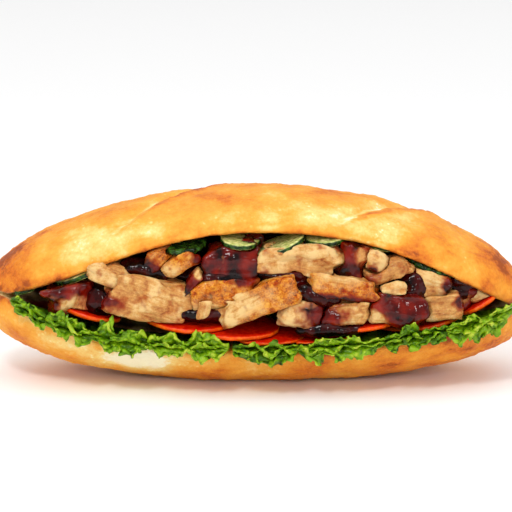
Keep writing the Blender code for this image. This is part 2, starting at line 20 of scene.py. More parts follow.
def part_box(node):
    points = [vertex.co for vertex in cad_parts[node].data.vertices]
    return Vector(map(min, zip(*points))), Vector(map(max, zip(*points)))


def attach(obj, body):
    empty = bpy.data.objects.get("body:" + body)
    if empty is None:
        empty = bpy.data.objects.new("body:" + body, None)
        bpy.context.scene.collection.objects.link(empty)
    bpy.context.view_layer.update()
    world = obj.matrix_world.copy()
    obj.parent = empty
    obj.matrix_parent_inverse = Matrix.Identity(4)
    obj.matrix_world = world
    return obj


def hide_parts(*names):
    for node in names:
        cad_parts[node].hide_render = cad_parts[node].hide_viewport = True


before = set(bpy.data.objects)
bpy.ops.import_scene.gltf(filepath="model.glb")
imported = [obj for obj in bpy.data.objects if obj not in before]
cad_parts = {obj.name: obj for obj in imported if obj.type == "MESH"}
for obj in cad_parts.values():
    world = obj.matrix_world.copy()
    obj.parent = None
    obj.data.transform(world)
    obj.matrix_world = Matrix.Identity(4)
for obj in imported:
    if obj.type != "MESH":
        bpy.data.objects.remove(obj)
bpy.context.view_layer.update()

LOG = logging.getLogger("banh_mi")
MM = 0.001
SAME_POINT = 0.001 * MM
Colour = tuple[float, float, float, float]


def tone(red: float, green: float, blue: float) -> Colour:
    """Turn a display colour into the linear colour that a shader takes.

    Args:
        red: The red level, from 0 to 255.
        green: The green level, from 0 to 255.
        blue: The blue level, from 0 to 255.

    Returns:
        The linear colour, with full alpha.
    """
    def linear(level: float) -> float:
        """One channel, from its display level."""
        share = level / 255.0
        return share / 12.92 if share <= 0.04045 else ((share + 0.055) / 1.055) ** 2.4
    return (linear(red), linear(green), linear(blue), 1.0)


def clip(value: float) -> float:
    """Keep a value between 0 and 1."""
    return max(0.0, min(1.0, value))


def smooth(low: float, high: float, value: float) -> float:
    """Rise smoothly from 0 at low to 1 at high."""
    share = clip((value - low) / (high - low))
    return share * share * (3.0 - 2.0 * share)


def fall(t: float, outer: float, inner: float) -> float:
    """The curve (1 - |t|^outer)^inner, which falls from 1 to 0."""
    return max(0.0, 1.0 - abs(t) ** outer) ** inner


def signed_power(value: float, power: float) -> float:
    """Raise a value to a power and keep its sign."""
    return math.copysign(abs(value) ** power, value)


def swell(distance_squared: float) -> float:
    """A soft round bump: 1 at its middle, fading out past a distance of 1."""
    return math.exp(-distance_squared)


class Signal:
    """A value in a material, on which Python's operators add Math nodes."""

    def __init__(self, paint: "Paint", socket: bpy.types.NodeSocket) -> None:
        """Wrap a socket of one paint."""
        self.paint = paint
        self.socket = socket

    def __add__(self, other: "Signal | float") -> "Signal":
        """This value plus another."""
        return self.paint.maths("ADD", self, other)

    __radd__ = __add__

    def __sub__(self, other: "Signal | float") -> "Signal":
        """This value less another."""
        return self.paint.maths("SUBTRACT", self, other)

    def __rsub__(self, other: float) -> "Signal":
        """A number less this value."""
        return self.paint.maths("SUBTRACT", other, self)

    def __mul__(self, other: "Signal | float") -> "Signal":
        """This value times another."""
        return self.paint.maths("MULTIPLY", self, other)

    __rmul__ = __mul__

    def above(self, low: float, high: float) -> "Signal":
        """Rise smoothly from 0 at low to 1 at high."""
        node = self.paint.node("ShaderNodeMapRange", {"interpolation_type": "SMOOTHSTEP"},
                               {"Value": self, "From Min": low, "From Max": high})
        return Signal(self.paint, node.outputs["Result"])


class Paint:
    """Builds the nodes of one material round a Principled shader."""

    def __init__(self, name: str) -> None:
        """Start a material.

        Args:
            name: The material's name.
        """
        self.material = bpy.data.materials.new(name)
        self.material.use_nodes = True
        self.tree = self.material.node_tree
        self.tree.nodes.clear()
        self.shader = self.node("ShaderNodeBsdfPrincipled")
        self.node("ShaderNodeOutputMaterial", values={"Surface": self.shader.outputs["BSDF"]})
        self.place = self.node("ShaderNodeTexCoord").outputs["Object"]

    def feed(self, socket: bpy.types.NodeSocket, value: object) -> None:
        """Link a socket, or set its value.

        Args:
            socket: The socket that is fed.
            value: A signal or a socket to link, or a plain value to set.
        """
        source = value.socket if isinstance(value, Signal) else value
        if isinstance(source, bpy.types.NodeSocket):
            self.tree.links.new(source, socket)
        else:
            socket.default_value = source

    def node(self, kind: str, settings: dict | None = None, values: dict | None = None) -> bpy.types.Node:
        """Add one node.

        Args:
            kind: The node's type.
            settings: What is set on it first; "stops" holds a ramp's places and colours.
            values: The values or links of its sockets, by name or number.

        Returns:
            The new node.
        """
        made = self.tree.nodes.new(kind)
        for name, setting in (settings or {}).items():
            if name == "stops":
                elements = made.color_ramp.elements
                while len(elements) < len(setting):
                    elements.new(1.0)
                for element, (position, colour) in zip(elements, setting):
                    element.position = position
                    element.color = colour
            else:
                setattr(made, name, setting)
        for name, value in (values or {}).items():
            self.feed(made.inputs[name], value)
        return made

    def maths(self, operation: str, first: "Signal | float", second: "Signal | float") -> Signal:
        """Join two values by a Math node."""
        made = self.node("ShaderNodeMath", {"operation": operation}, {0: first, 1: second})
        return Signal(self, made.outputs[0])

    def mask(self, name: str) -> Signal:
        """Read one of the mesh's own masks."""
        made = self.node("ShaderNodeAttribute", {"attribute_name": name})
        return Signal(self, made.outputs["Fac"])

    def grain(self, name: str) -> bpy.types.NodeSocket:
        """Read a mesh attribute as coordinates."""
        return self.node("ShaderNodeAttribute", {"attribute_name": name}).outputs["Vector"]

    def cloud(self, size: float, detail: float = 4.0, rough: float = 0.55,
              place: bpy.types.NodeSocket | None = None) -> Signal:
        """A soft random pattern.

        Args:
            size: The width of its patches.
            detail: How many finer layers it has.
            rough: How strong those are.
            place: The coordinates that it reads, or the object's own.

        Returns:
            A value about 0.5, mostly from 0.3 to 0.7.
        """
        made = self.node("ShaderNodeTexNoise", values={
            "Vector": place or self.place, "Scale": 1.0 / size, "Detail": detail, "Roughness": rough})
        return Signal(self, made.outputs["Fac"])

    def cells(self, size: float, place: bpy.types.NodeSocket | None = None) -> Signal:
        """The distance to the nearest of many random points that lie about size apart."""
        made = self.node("ShaderNodeTexVoronoi", values={
            "Vector": place or self.place, "Scale": 1.0 / size})
        return Signal(self, made.outputs["Distance"])

    def ramp(self, value: Signal, *stops: tuple[float, Colour]) -> bpy.types.NodeSocket:
        """Colour a value by a ramp of stops."""
        made = self.node("ShaderNodeValToRGB", {"stops": stops}, {"Fac": value})
        return made.outputs["Color"]

    def blend(self, share: "Signal | float", first: object, second: object,
              mode: str = "MIX") -> bpy.types.NodeSocket:
        """Mix two colours by a share, or by another of the Mix node's modes."""
        made = self.node("ShaderNodeMix", {"data_type": "RGBA", "blend_type": mode, "clamp_factor": True},
                         {0: share, 6: first, 7: second})
        return made.outputs[2]

    def finish(self, colour: object, roughness: object, relief: Signal | None = None, depth: float = 0.0,
               coat: object = 0.0, **constants: float) -> bpy.types.Material:
        """Close the material.

        Args:
            colour: The base colour.
            roughness: The roughness.
            relief: The height of the fine relief, from 0 to 1.
            depth: The real height of that relief.
            coat: The weight of the clear coat.
            constants: Other sockets of the shader, with their words joined by lines.

        Returns:
            The finished material.
        """
        self.feed(self.shader.inputs["Base Color"], colour)
        self.feed(self.shader.inputs["Roughness"], roughness)
        self.feed(self.shader.inputs["Coat Weight"], coat)
        for name, value in constants.items():
            self.feed(self.shader.inputs[name.replace("_", " ").title().replace("Ior", "IOR")], value)
        if relief is not None:
            bump = self.node("ShaderNodeBump", values={"Strength": 1.0, "Distance": depth, "Height": relief})
            self.feed(self.shader.inputs["Normal"], bump.outputs["Normal"])
        return self.material


@dataclass(frozen=True)
class CrustFinish:
    """Golden crust from cream to brown, soft crumb inside, and sauce in the crumb where the filling touches,
    which also darkens the crumb deeper in the slit as painted shade.
    """

    flour: Colour = tone(254, 242, 206)
    cream: Colour = tone(248, 212, 126)
    gold: Colour = tone(243, 171, 62)
    amber: Colour = tone(234, 147, 40)
    rust: Colour = tone(212, 110, 26)
    brown: Colour = tone(160, 74, 18)
    crumb: Colour = tone(246, 222, 164)
    crumb_pore: Colour = tone(226, 184, 112)
    soaked_and_shaded: Colour = tone(96, 20, 10)
    mottle: float = 6.5 * MM
    freckle: float = 1.5 * MM
    flake: float = 2.3 * MM
    flaky_patch: float = 9.0 * MM
    pore: float = 1.4 * MM
    grit: float = 1.1 * MM
    blister: float = 1.7 * MM
    sheen_patch: float = 3.0 * MM
    relief: float = 0.45 * MM

    def material(self) -> bpy.types.Material:
        """Build the crust's material.

        Returns:
            The finished material.
        """
        paint = Paint("bread_crust")
        mottle = (paint.cloud(self.mottle, 5.0, 0.65) - 0.5) * 0.55
        freckle = (paint.cloud(self.freckle, 4.0, 0.7) - 0.5) * 0.40
        flaky = paint.cloud(self.flaky_patch, 2.0).above(0.5, 0.66)
        flake = paint.cells(self.flake).above(0.42, 0.1) * flaky
        baked = paint.mask("bake") + mottle + freckle - flake * 0.18
        crust = paint.ramp(baked, (0.0, self.flour), (0.2, self.cream), (0.45, self.gold),
                           (0.68, self.amber), (0.88, self.rust), (1.0, self.brown))
        pores = paint.cells(self.pore).above(0.1, 0.5)
        crumb = paint.blend(pores * 0.35, self.crumb_pore, self.crumb)
        surface = paint.blend(paint.mask("crumb"), crust, crumb)
        # The stain is sauce in the crumb, and painted shade deeper in the slit.
        surface = paint.blend(paint.mask("stain"), surface, self.soaked_and_shaded)
        grit = paint.cloud(self.grit, 4.0, 0.65) * 0.9 + paint.cells(self.blister) * 0.2
        roughness = paint.cloud(self.sheen_patch) * 0.3 + 0.40
        return paint.finish(surface, roughness, grit, self.relief, specular_ior_level=0.25,
                            subsurface_weight=0.05, subsurface_scale=1.0 * MM)


@dataclass(frozen=True)
class LeafFinish:
    """Wet green leaf with pale flecks, painted light on the folds that turn forward and painted shade in the
    folds that turn away.
    """

    deep: Colour = tone(24, 54, 2)
    green: Colour = tone(82, 124, 5)
    bright: Colour = tone(132, 172, 14)
    pale: Colour = tone(190, 204, 62)
    mottle: float = 3.0 * MM
    vein_spacing: float = 2.6 * MM
    pucker: float = 1.1 * MM
    relief: float = 0.3 * MM

    def material(self) -> bpy.types.Material:
        """Build the leaf's material.

        Returns:
            The finished material.
        """
        paint = Paint("lettuce_leaf")
        # The ridge mask holds painted light and shade: pale on the folds that turn forward, deep green in
        # those that turn away.
        level = paint.mask("ridge") + (paint.cloud(self.mottle, 4.0) - 0.5) * 0.6
        colour = paint.ramp(level, (0.12, self.deep), (0.42, self.green), (0.70, self.bright),
                            (1.0, self.pale))
        veins = paint.cells(self.vein_spacing)
        colour = paint.blend(veins.above(0.0, 0.14) * -0.3 + 0.3, colour, self.pale)
        pucker = paint.cloud(self.pucker, 3.0) * 0.6 + veins * 0.5
        return paint.finish(colour, 0.34, pucker, self.relief, coat=0.1, coat_ior=1.35,
                            specular_ior_level=0.22, subsurface_weight=0.15, subsurface_scale=0.8 * MM)


@dataclass(frozen=True)
class CarrotFinish:
    """Moist slices with streaks, deep red on their faces as painted shade and bright orange on their rims as
    painted light.
    """

    # The face and core colours are painted shade on the flat faces; the rim colours are painted light on the
    # edges.
    face: Colour = tone(198, 12, 1)
    core: Colour = tone(224, 40, 2)
    rim: Colour = tone(244, 76, 4)
    pale_rim: Colour = tone(252, 114, 16)
    streak: float = 2.2 * MM
    grain: float = 0.7 * MM
    wet_patch: float = 2.0 * MM
    relief: float = 0.12 * MM

    def material(self) -> bpy.types.Material:
        """Build the carrot's material.

        Returns:
            The finished material.
        """
        paint = Paint("carrot_flesh")
        streak = paint.cloud(self.streak, 4.0)
        # Painted shade on the faces and painted light on the rims, picked by the rim mask.
        face = paint.blend(streak.above(0.35, 0.7), self.face, self.core)
        rim = paint.blend(streak.above(0.4, 0.68), self.rim, self.pale_rim)
        colour = paint.blend(paint.mask("rim"), face, rim)
        roughness = paint.cloud(self.wet_patch) * 0.25 + 0.08
        return paint.finish(colour, roughness, paint.cloud(self.grain, 3.0), self.relief,
                            specular_ior_level=0.22, subsurface_weight=0.12, subsurface_scale=1.5 * MM)


@dataclass(frozen=True)
class CucumberFinish:
    """Dark warty rind round pale flesh."""

    rind: Colour = tone(12, 34, 8)
    rind_light: Colour = tone(54, 96, 22)
    flesh: Colour = tone(226, 226, 150)
    flesh_wet: Colour = tone(160, 174, 80)
    wart: float = 2.0 * MM
    rind_patch: float = 2.5 * MM
    flesh_patch: float = 1.8 * MM
    relief: float = 0.3 * MM

    def material(self) -> bpy.types.Material:
        """Build the cucumber's material.

        Returns:
            The finished material.
        """
        paint = Paint("cucumber_rind")
        rind = paint.blend(paint.cloud(self.rind_patch).above(0.42, 0.66), self.rind, self.rind_light)
        flesh = paint.blend(paint.cloud(self.flesh_patch).above(0.35, 0.65), self.flesh_wet, self.flesh)
        colour = paint.blend(paint.mask("rim"), flesh, rind)
        return paint.finish(colour, 0.2, paint.cells(self.wart), self.relief, specular_ior_level=0.25,
                            subsurface_weight=0.08, subsurface_scale=1.0 * MM)


@dataclass(frozen=True)
class MeatFinish:
    """Chicken: pale fibres, seared skin and dark sticky glaze, each where its own mask puts it, with painted
    shade in its splits and hollows.
    """

    name: str
    cream: Colour = tone(226, 190, 128)
    tan: Colour = tone(206, 152, 84)
    shade: Colour = tone(180, 116, 62)
    crease_shade: Colour = tone(122, 58, 24)
    yellow: Colour = tone(224, 154, 44)
    sear: Colour = tone(194, 100, 14)
    rust: Colour = tone(148, 56, 8)
    char: Colour = tone(82, 25, 4)
    glaze_thin: Colour = tone(142, 26, 4)
    glaze: Colour = tone(88, 6, 2)
    glaze_dark: Colour = tone(24, 1, 1)
    fibre: float = 1.0 * MM
    mottle: float = 5.0 * MM
    speck: float = 0.6 * MM
    pit: float = 0.9 * MM
    scorch: float = 3.0 * MM
    glaze_patch: float = 7.0 * MM
    relief: float = 0.25 * MM

    def material(self) -> bpy.types.Material:
        """Build the meat's material.

        Returns:
            The finished material.
        """
        paint = Paint(self.name)
        sear, glaze, hollow = (paint.mask(name) for name in ("sear", "glaze", "hollow"))
        fibre = paint.cloud(self.fibre, 3.0, 0.55, paint.grain("grain"))
        mottle = paint.cloud(self.mottle, 4.0, 0.6)
        speck = paint.cloud(self.speck, 2.0)
        # Painted shade: the flesh and the skin darken in the splits, tears and dips of each piece, and by
        # its own tone.
        flesh = paint.ramp(fibre * 0.3 + mottle * 0.7 + speck * 0.2 - hollow * 0.20,
                           (0.22, self.crease_shade), (0.34, self.shade), (0.47, self.tan), (0.60, self.cream))
        pits = paint.cells(self.pit).above(0.05, 0.6)
        scorch = paint.cloud(self.scorch, 4.0, 0.6)
        skin = paint.ramp(scorch * 0.75 + speck * 0.35 + pits * 0.12 - hollow * 0.15,
                          (0.38, self.char), (0.47, self.rust), (0.57, self.sear), (0.74, self.yellow))
        colour = paint.blend(sear, flesh, skin)
        thin = glaze.above(0.1, 0.45)
        colour = paint.blend(thin, colour, paint.blend(0.75, colour, self.glaze_thin))
        thick = glaze.above(0.36, 0.7)
        syrup = paint.ramp(paint.cloud(self.glaze_patch, 3.0, 0.45),
                           (0.36, self.glaze_dark), (0.50, self.glaze), (0.72, self.glaze_thin))
        colour = paint.blend(thick, colour, syrup)
        roughness = 0.34 - sear * 0.08 - thick * 0.26 + (fibre - 0.5) * 0.1
        relief = (fibre * 0.5 + speck * 0.3) * (1.0 - thick * 0.85) + pits * 0.3 * sear
        return paint.finish(colour, roughness, relief, self.relief, coat=thick * 0.7 + 0.2,
                            coat_roughness=0.03, coat_ior=1.28, specular_ior_level=0.10,
                            subsurface_weight=0.12, subsurface_scale=1.2 * MM)


@dataclass(frozen=True)
class SauceFinish:
    """Thick dark red-brown sauce with a wet gloss."""

    dark: Colour = tone(12, 1, 2)
    red: Colour = tone(74, 7, 4)
    patch: float = 7.0 * MM
    ripple: float = 6.0 * MM
    relief: float = 0.9 * MM

    def material(self) -> bpy.types.Material:
        """Build the sauce's material.

        Returns:
            The finished material.
        """
        paint = Paint("dark_sauce")
        colour = paint.ramp(paint.cloud(self.patch, 3.0), (0.42, self.dark), (0.66, self.red))
        return paint.finish(colour, 0.05, paint.cloud(self.ripple, 1.0), self.relief,
                            specular_ior_level=0.20)


def turn_outwards(bm: bmesh.types.BMesh) -> None:
    """Point the faces of a closed mesh outwards.

    Args:
        bm: The closed mesh.
    """
    bmesh.ops.recalc_face_normals(bm, faces=bm.faces[:])
    if bm.calc_volume(signed=True) < 0.0:
        bmesh.ops.reverse_faces(bm, faces=bm.faces[:])


def new_piece(name: str, mesh: bpy.types.Mesh, material: bpy.types.Material) -> bpy.types.Object:
    """Show a mesh as an object of one material at the origin.

    Args:
        name: The object's name.
        mesh: Its mesh.
        material: Its material.

    Returns:
        The new object.
    """
    piece = bpy.data.objects.new(name, mesh)
    mesh.materials.clear()
    mesh.materials.append(material)
    mesh.shade_smooth()
    bpy.context.scene.collection.objects.link(piece)
    return piece


def mesh_of(name: str, bm: bmesh.types.BMesh) -> bpy.types.Mesh:
    """Turn a bmesh into a mesh, and free it.

    Args:
        name: The mesh's name.
        bm: The bmesh.

    Returns:
        The new mesh.
    """
    mesh = bpy.data.meshes.new(name)
    bm.to_mesh(mesh)
    bm.free()
    return mesh


def settle(piece: bpy.types.Object) -> None:
    """Give a piece the mesh that its modifiers make.

    Args:
        piece: The piece, which has no modifiers afterwards.
    """
    seen = piece.evaluated_get(bpy.context.evaluated_depsgraph_get())
    mesh = bpy.data.meshes.new_from_object(seen)
    piece.modifiers.clear()
    piece.data = mesh
    mesh.shade_smooth()


def raise_points(mesh: bpy.types.Mesh, lifts: list[float]) -> None:
    """Move each point of a mesh along its normal.

    Args:
        mesh: The mesh.
        lifts: How far each of its points moves.
    """
    moved = [vert.co + vert.normal * lift for vert, lift in zip(mesh.vertices, lifts)]
    mesh.vertices.foreach_set("co", [value for point in moved for value in point])
    mesh.update()


def write_mask(mesh: bpy.types.Mesh, name: str, values: list[float]) -> None:
    """Store one value for each point of a mesh."""
    mesh.attributes.new(name, "FLOAT", "POINT").data.foreach_set("value", values)


def refine(piece: bpy.types.Object, voxel: float, rounds: int) -> None:
    """Mesh a piece finely and soften it.

    Args:
        piece: The piece.
        voxel: The size of its faces.
        rounds: How many times its corners are softened.
    """
    fine = piece.modifiers.new("fine", "REMESH")
    fine.mode = "VOXEL"
    fine.voxel_size = voxel
    soft = piece.modifiers.new("soft", "SMOOTH")
    soft.factor = 0.5
    soft.iterations = rounds
    settle(piece)


def stand_in(piece: bpy.types.Object, slot: str, *nodes: str) -> bpy.types.Object:
    """Put a piece on the sandwich.

    Args:
        piece: The piece.
        slot: The slot that its finish belongs to; not used.
        nodes: The solids whose place it takes, if any.

    Returns:
        The same piece.
    """
    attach(piece, "root")
    if nodes:
        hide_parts(*nodes)
    return piece


def fine_copy(node: str, name: str, material: bpy.types.Material, voxel: float,
              rounds: int) -> bpy.types.Object:
    """Copy a solid with fine faces and soft corners.

    Args:
        node: The solid's name.
        name: The piece's name.
        material: Its material.
        voxel: The size of its faces.
        rounds: How many times its corners are softened.

    Returns:
        The new piece.
    """
    bm = bmesh.new()
    bm.from_mesh(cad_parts[node].data)
    bmesh.ops.remove_doubles(bm, verts=bm.verts[:], dist=SAME_POINT)
    piece = new_piece(name, mesh_of(name, bm), material)
    refine(piece, voxel, rounds)
    return piece


@dataclass
class Section:
    """What the roll measures at one place along it.

    The crust is an oval round a middle height, half its height up and down from
    there and depth to the front and back, and its arc runs from the angle start to
    the angle end.  The slit opens from low to high and reaches in by slit.
    """

    middle: float
    half: float
    depth: float
    low: float
    high: float
    start: float
    end: float
    slit: float


@dataclass
class RollShape:
    """The roll's form.  A pair holds the values of its left and right halves."""

    length: float = 238.0 * MM
    depth: float = 86.0 * MM
    height: float = 82.5 * MM
    tips: tuple[float, float] = (37.5 * MM, 31.5 * MM)
    top_fullness: tuple[float, float] = (1.75, 1.87)
    bottom_fullness: float = 2.3
    plan_fullness: float = 2.2
    fullness: float = 2.4
    foot_cut: float = 1.3 * MM
    corners: tuple[float, float] = (109.0 * MM, 112.5 * MM)
    corner_rise: float = 2.0 * MM
    upper_lip_height: float = 67.2 * MM
    lower_lip_height: float = 20.0 * MM
    upper_curve: tuple[tuple[float, float], tuple[float, float]] = ((2.0, 1.6), (2.4, 1.3))
    lower_curve: tuple[float, float] = (3.4, 2.4)
    least_opening: float = 0.035
    hinge_depth: float = 21.0 * MM
    least_slit: float = 0.1
    slit_fullness: float = 2.6
    ceiling: float = 3.0 * MM
    rounding: float = 2.2 * MM
    set_back: float = 0.0

    def top(self, x: float) -> float:
        """Height of the top at x."""
        tip, full = self.tips[x >= 0.0], self.top_fullness[x >= 0.0]
        return tip + (self.height - tip) * fall(2.0 * x / self.length, full, 1.0 / full)

    def bottom(self, x: float) -> float:
        """Height of the underside at x, before its foot is flat."""
        full = self.bottom_fullness
        return self.tips[x >= 0.0] * (1.0 - fall(2.0 * x / self.length, full, 1.0 / full)) - self.foot_cut

    def half_depth(self, x: float) -> float:
        """Half the depth at x."""
        full = self.plan_fullness
        return 0.5 * self.depth * fall(2.0 * x / self.length, full, 1.0 / full)

    def place(self, x: float) -> float:
        """The place of x along the slit: 1 at its corners."""
        return x / self.corners[x >= 0.0]

    def corner(self, x: float) -> float:
        """Height of the slit's corner on the side of x, and past it down to the tip.

        Args:
            x: The place along the roll.

        Returns:
            The height.
        """
        corner = self.corners[x >= 0.0]
        past = max(0.0, abs(x) - corner) / (0.5 * self.length - corner)
        return self.tips[x >= 0.0] + self.corner_rise * (1.0 - past)

    def upper_lip(self, x: float) -> float:
        """Height of the upper lip at x.

        Args:
            x: The place along the roll.

        Returns:
            The height.
        """
        outer, inner = self.upper_curve[x >= 0.0]
        corner = self.corner(x)
        return corner + (self.upper_lip_height - corner) * fall(self.place(x), outer, inner)

    def lower_lip(self, x: float) -> float:
        """Height of the lower lip at x."""
        rise = min(1.0, abs(self.place(x))) ** self.lower_curve[x >= 0.0]
        return self.lower_lip_height + (self.corner(x) - self.lower_lip_height) * rise

    def slit_half(self, x: float) -> float:
        """Half the opening between the lips."""
        opening = self.upper_lip(x) - self.lower_lip(x)
        return max(self.least_opening * self.half_depth(x), 0.5 * opening)

    def slit_middle(self, x: float) -> float:
        """Height midway between the lips."""
        return 0.5 * (self.upper_lip(x) + self.lower_lip(x))

    def front(self, x: float, z: float) -> float:
        """Where the front surface stands.

        Args:
            x: The place along the roll.
            z: The height.

        Returns:
            Its y.
        """
        middle = 0.5 * (self.top(x) + self.bottom(x))
        half = 0.5 * (self.top(x) - self.bottom(x))
        share = min(1.0, abs(z - middle) / half)
        return self.set_back - self.half_depth(x) * fall(share, self.fullness, 1.0 / self.fullness)

    def slit_depth(self, x: float) -> float:
        """How far the slit reaches in at x.

        Args:
            x: The place along the roll.

        Returns:
            Its depth behind the front surface.
        """
        reach = fall(min(1.0, abs(self.place(x))), 3.0, 0.6)
        full = 0.5 * self.depth + self.hinge_depth
        shallow = self.least_slit * self.half_depth(x)
        return max(shallow, full * reach * self.half_depth(x) / (0.5 * self.depth))

    def slit_floor(self, x: float, y: float) -> float:
        """Height of the slit's floor.

        Args:
            x: The place along the roll.
            y: The place from front to back.

        Returns:
            The height.
        """
        low = self.slit_middle(x) - self.slit_half(x)
        behind = clip((y - self.front(x, low)) / self.slit_depth(x))
        full = self.slit_fullness
        return self.slit_middle(x) - self.slit_half(x) * fall(behind, full, 1.0 / full)

    def ceiling_rise(self, x: float, behind: float) -> float:
        """How far the soft ceiling is hollowed above its lip."""
        wide = min(1.0, self.slit_half(x) / (0.3 * self.height))
        return self.ceiling * wide * 4.0 * behind * max(0.0, 1.0 - behind)

    def slit_ceiling(self, x: float, y: float) -> float:
        """Height of the slit's ceiling.

        Args:
            x: The place along the roll.
            y: The place from front to back.

        Returns:
            The height.
        """
        behind = clip((y - self.front(x, self.slit_middle(x) + self.slit_half(x))) / self.slit_depth(x))
        full = self.slit_fullness
        rise = self.slit_half(x) * fall(behind, full, 1.0 / full)
        return self.slit_middle(x) + rise + self.ceiling_rise(x, behind)

    def section(self, x: float) -> Section:
        """Measure the roll at x.

        Args:
            x: The place along the roll.

        Returns:
            Its section there.
        """
        middle = 0.5 * (self.top(x) + self.bottom(x))
        half = 0.5 * (self.top(x) - self.bottom(x))
        depth = self.half_depth(x)
        low = self.slit_middle(x) - self.slit_half(x)
        high = self.slit_middle(x) + self.slit_half(x)
        rounding = min(self.rounding, 0.06 * depth)

        def lip_angle(z: float) -> float:
            """The section's angle at height z."""
            share = max(-1.0, min(1.0, (z - middle) / half))
            return math.asin(signed_power(share, 0.5 * self.fullness))

        return Section(middle, half, depth, low, high, math.pi - lip_angle(low - rounding),
                       3.0 * math.pi - lip_angle(high + rounding), self.slit_depth(x))

    def crust_point(self, cut: Section, share: float) -> tuple[float, float]:
        """Find a point of the crust.

        Args:
            cut: The section that it lies in.
            share: Its share of the way from the lower lip round the back to the upper lip.

        Returns:
            Its y and z.
        """
        angle = cut.start + (cut.end - cut.start) * share
        power = 2.0 / self.fullness
        return (cut.depth * signed_power(math.cos(angle), power),
                cut.middle + cut.half * signed_power(math.sin(angle), power))

    def slit_point(self, x: float, cut: Section, share: float) -> tuple[float, float]:
        """Find a point of the slit's wall.

        Args:
            x: The place along the roll.
            cut: The section there.
            share: Its share of the way from the upper lip through the slit to the lower lip.

        Returns:
            Its y and z.
        """
        angle = math.pi * (0.5 - share)
        mouth = self.front(x, cut.high if angle > 0.0 else cut.low) - self.set_back
        reach = abs(math.cos(angle)) ** (2.0 / self.slit_fullness)
        height = 0.5 * (cut.high - cut.low) * signed_power(math.sin(angle), 2.0 / self.slit_fullness)
        if angle > 0.0:
            height += self.ceiling_rise(x, reach)
        return mouth + cut.slit * reach, 0.5 * (cut.high + cut.low) + height


@dataclass(frozen=True)
class Patch:
    """A stretch of the front crust that is painted browner, or paler where bake is below 0.

    Its place and its half width and half height are in millimetres.
    """

    x: float
    z: float
    wide: float
    high: float
    bake: float

    def at(self, x: float, z: float) -> float:
        """Say how much it adds at a point.

        Args:
            x: The point's place along the roll.
            z: Its height.

        Returns:
            What is added to the bake there.
        """
        across = (x / MM - self.x) / self.wide
        up = (z / MM - self.z) / self.high
        return self.bake * swell(across * across + up * up)


FRONT_PATCHES = (
    Patch(-73.0, 61.0, 15.0, 6.0, -0.22), Patch(-62.0, 67.0, 13.0, 5.0, -0.18),
    Patch(-51.0, 73.5, 9.0, 5.0, -0.26), Patch(-42.0, 68.0, 9.0, 6.0, -0.14),
    Patch(14.0, 74.0, 24.0, 6.0, -0.24), Patch(36.0, 73.0, 12.0, 5.0, -0.26),
    Patch(54.0, 68.0, 10.0, 6.0, -0.28), Patch(-21.0, 72.0, 13.0, 6.0, -0.12),
    Patch(80.0, 62.0, 20.0, 8.0, 0.06), Patch(104.0, 50.0, 14.0, 14.0, 0.14),
    Patch(-106.0, 52.0, 14.0, 12.0, 0.30), Patch(-68.0, 76.0, 26.0, 5.0, 0.26),
    Patch(-96.0, 30.5, 12.0, 5.0, -0.44), Patch(-48.0, 15.0, 22.0, 6.5, -0.75),
    Patch(-76.0, 20.0, 12.0, 3.5, -0.24), Patch(-19.0, 14.0, 14.0, 4.0, -0.08),
    Patch(45.0, 12.0, 36.0, 6.0, 0.26), Patch(-103.0, 24.0, 8.0, 6.0, 0.22),
    Patch(88.0, 20.0, 24.0, 9.0, 0.20),
)


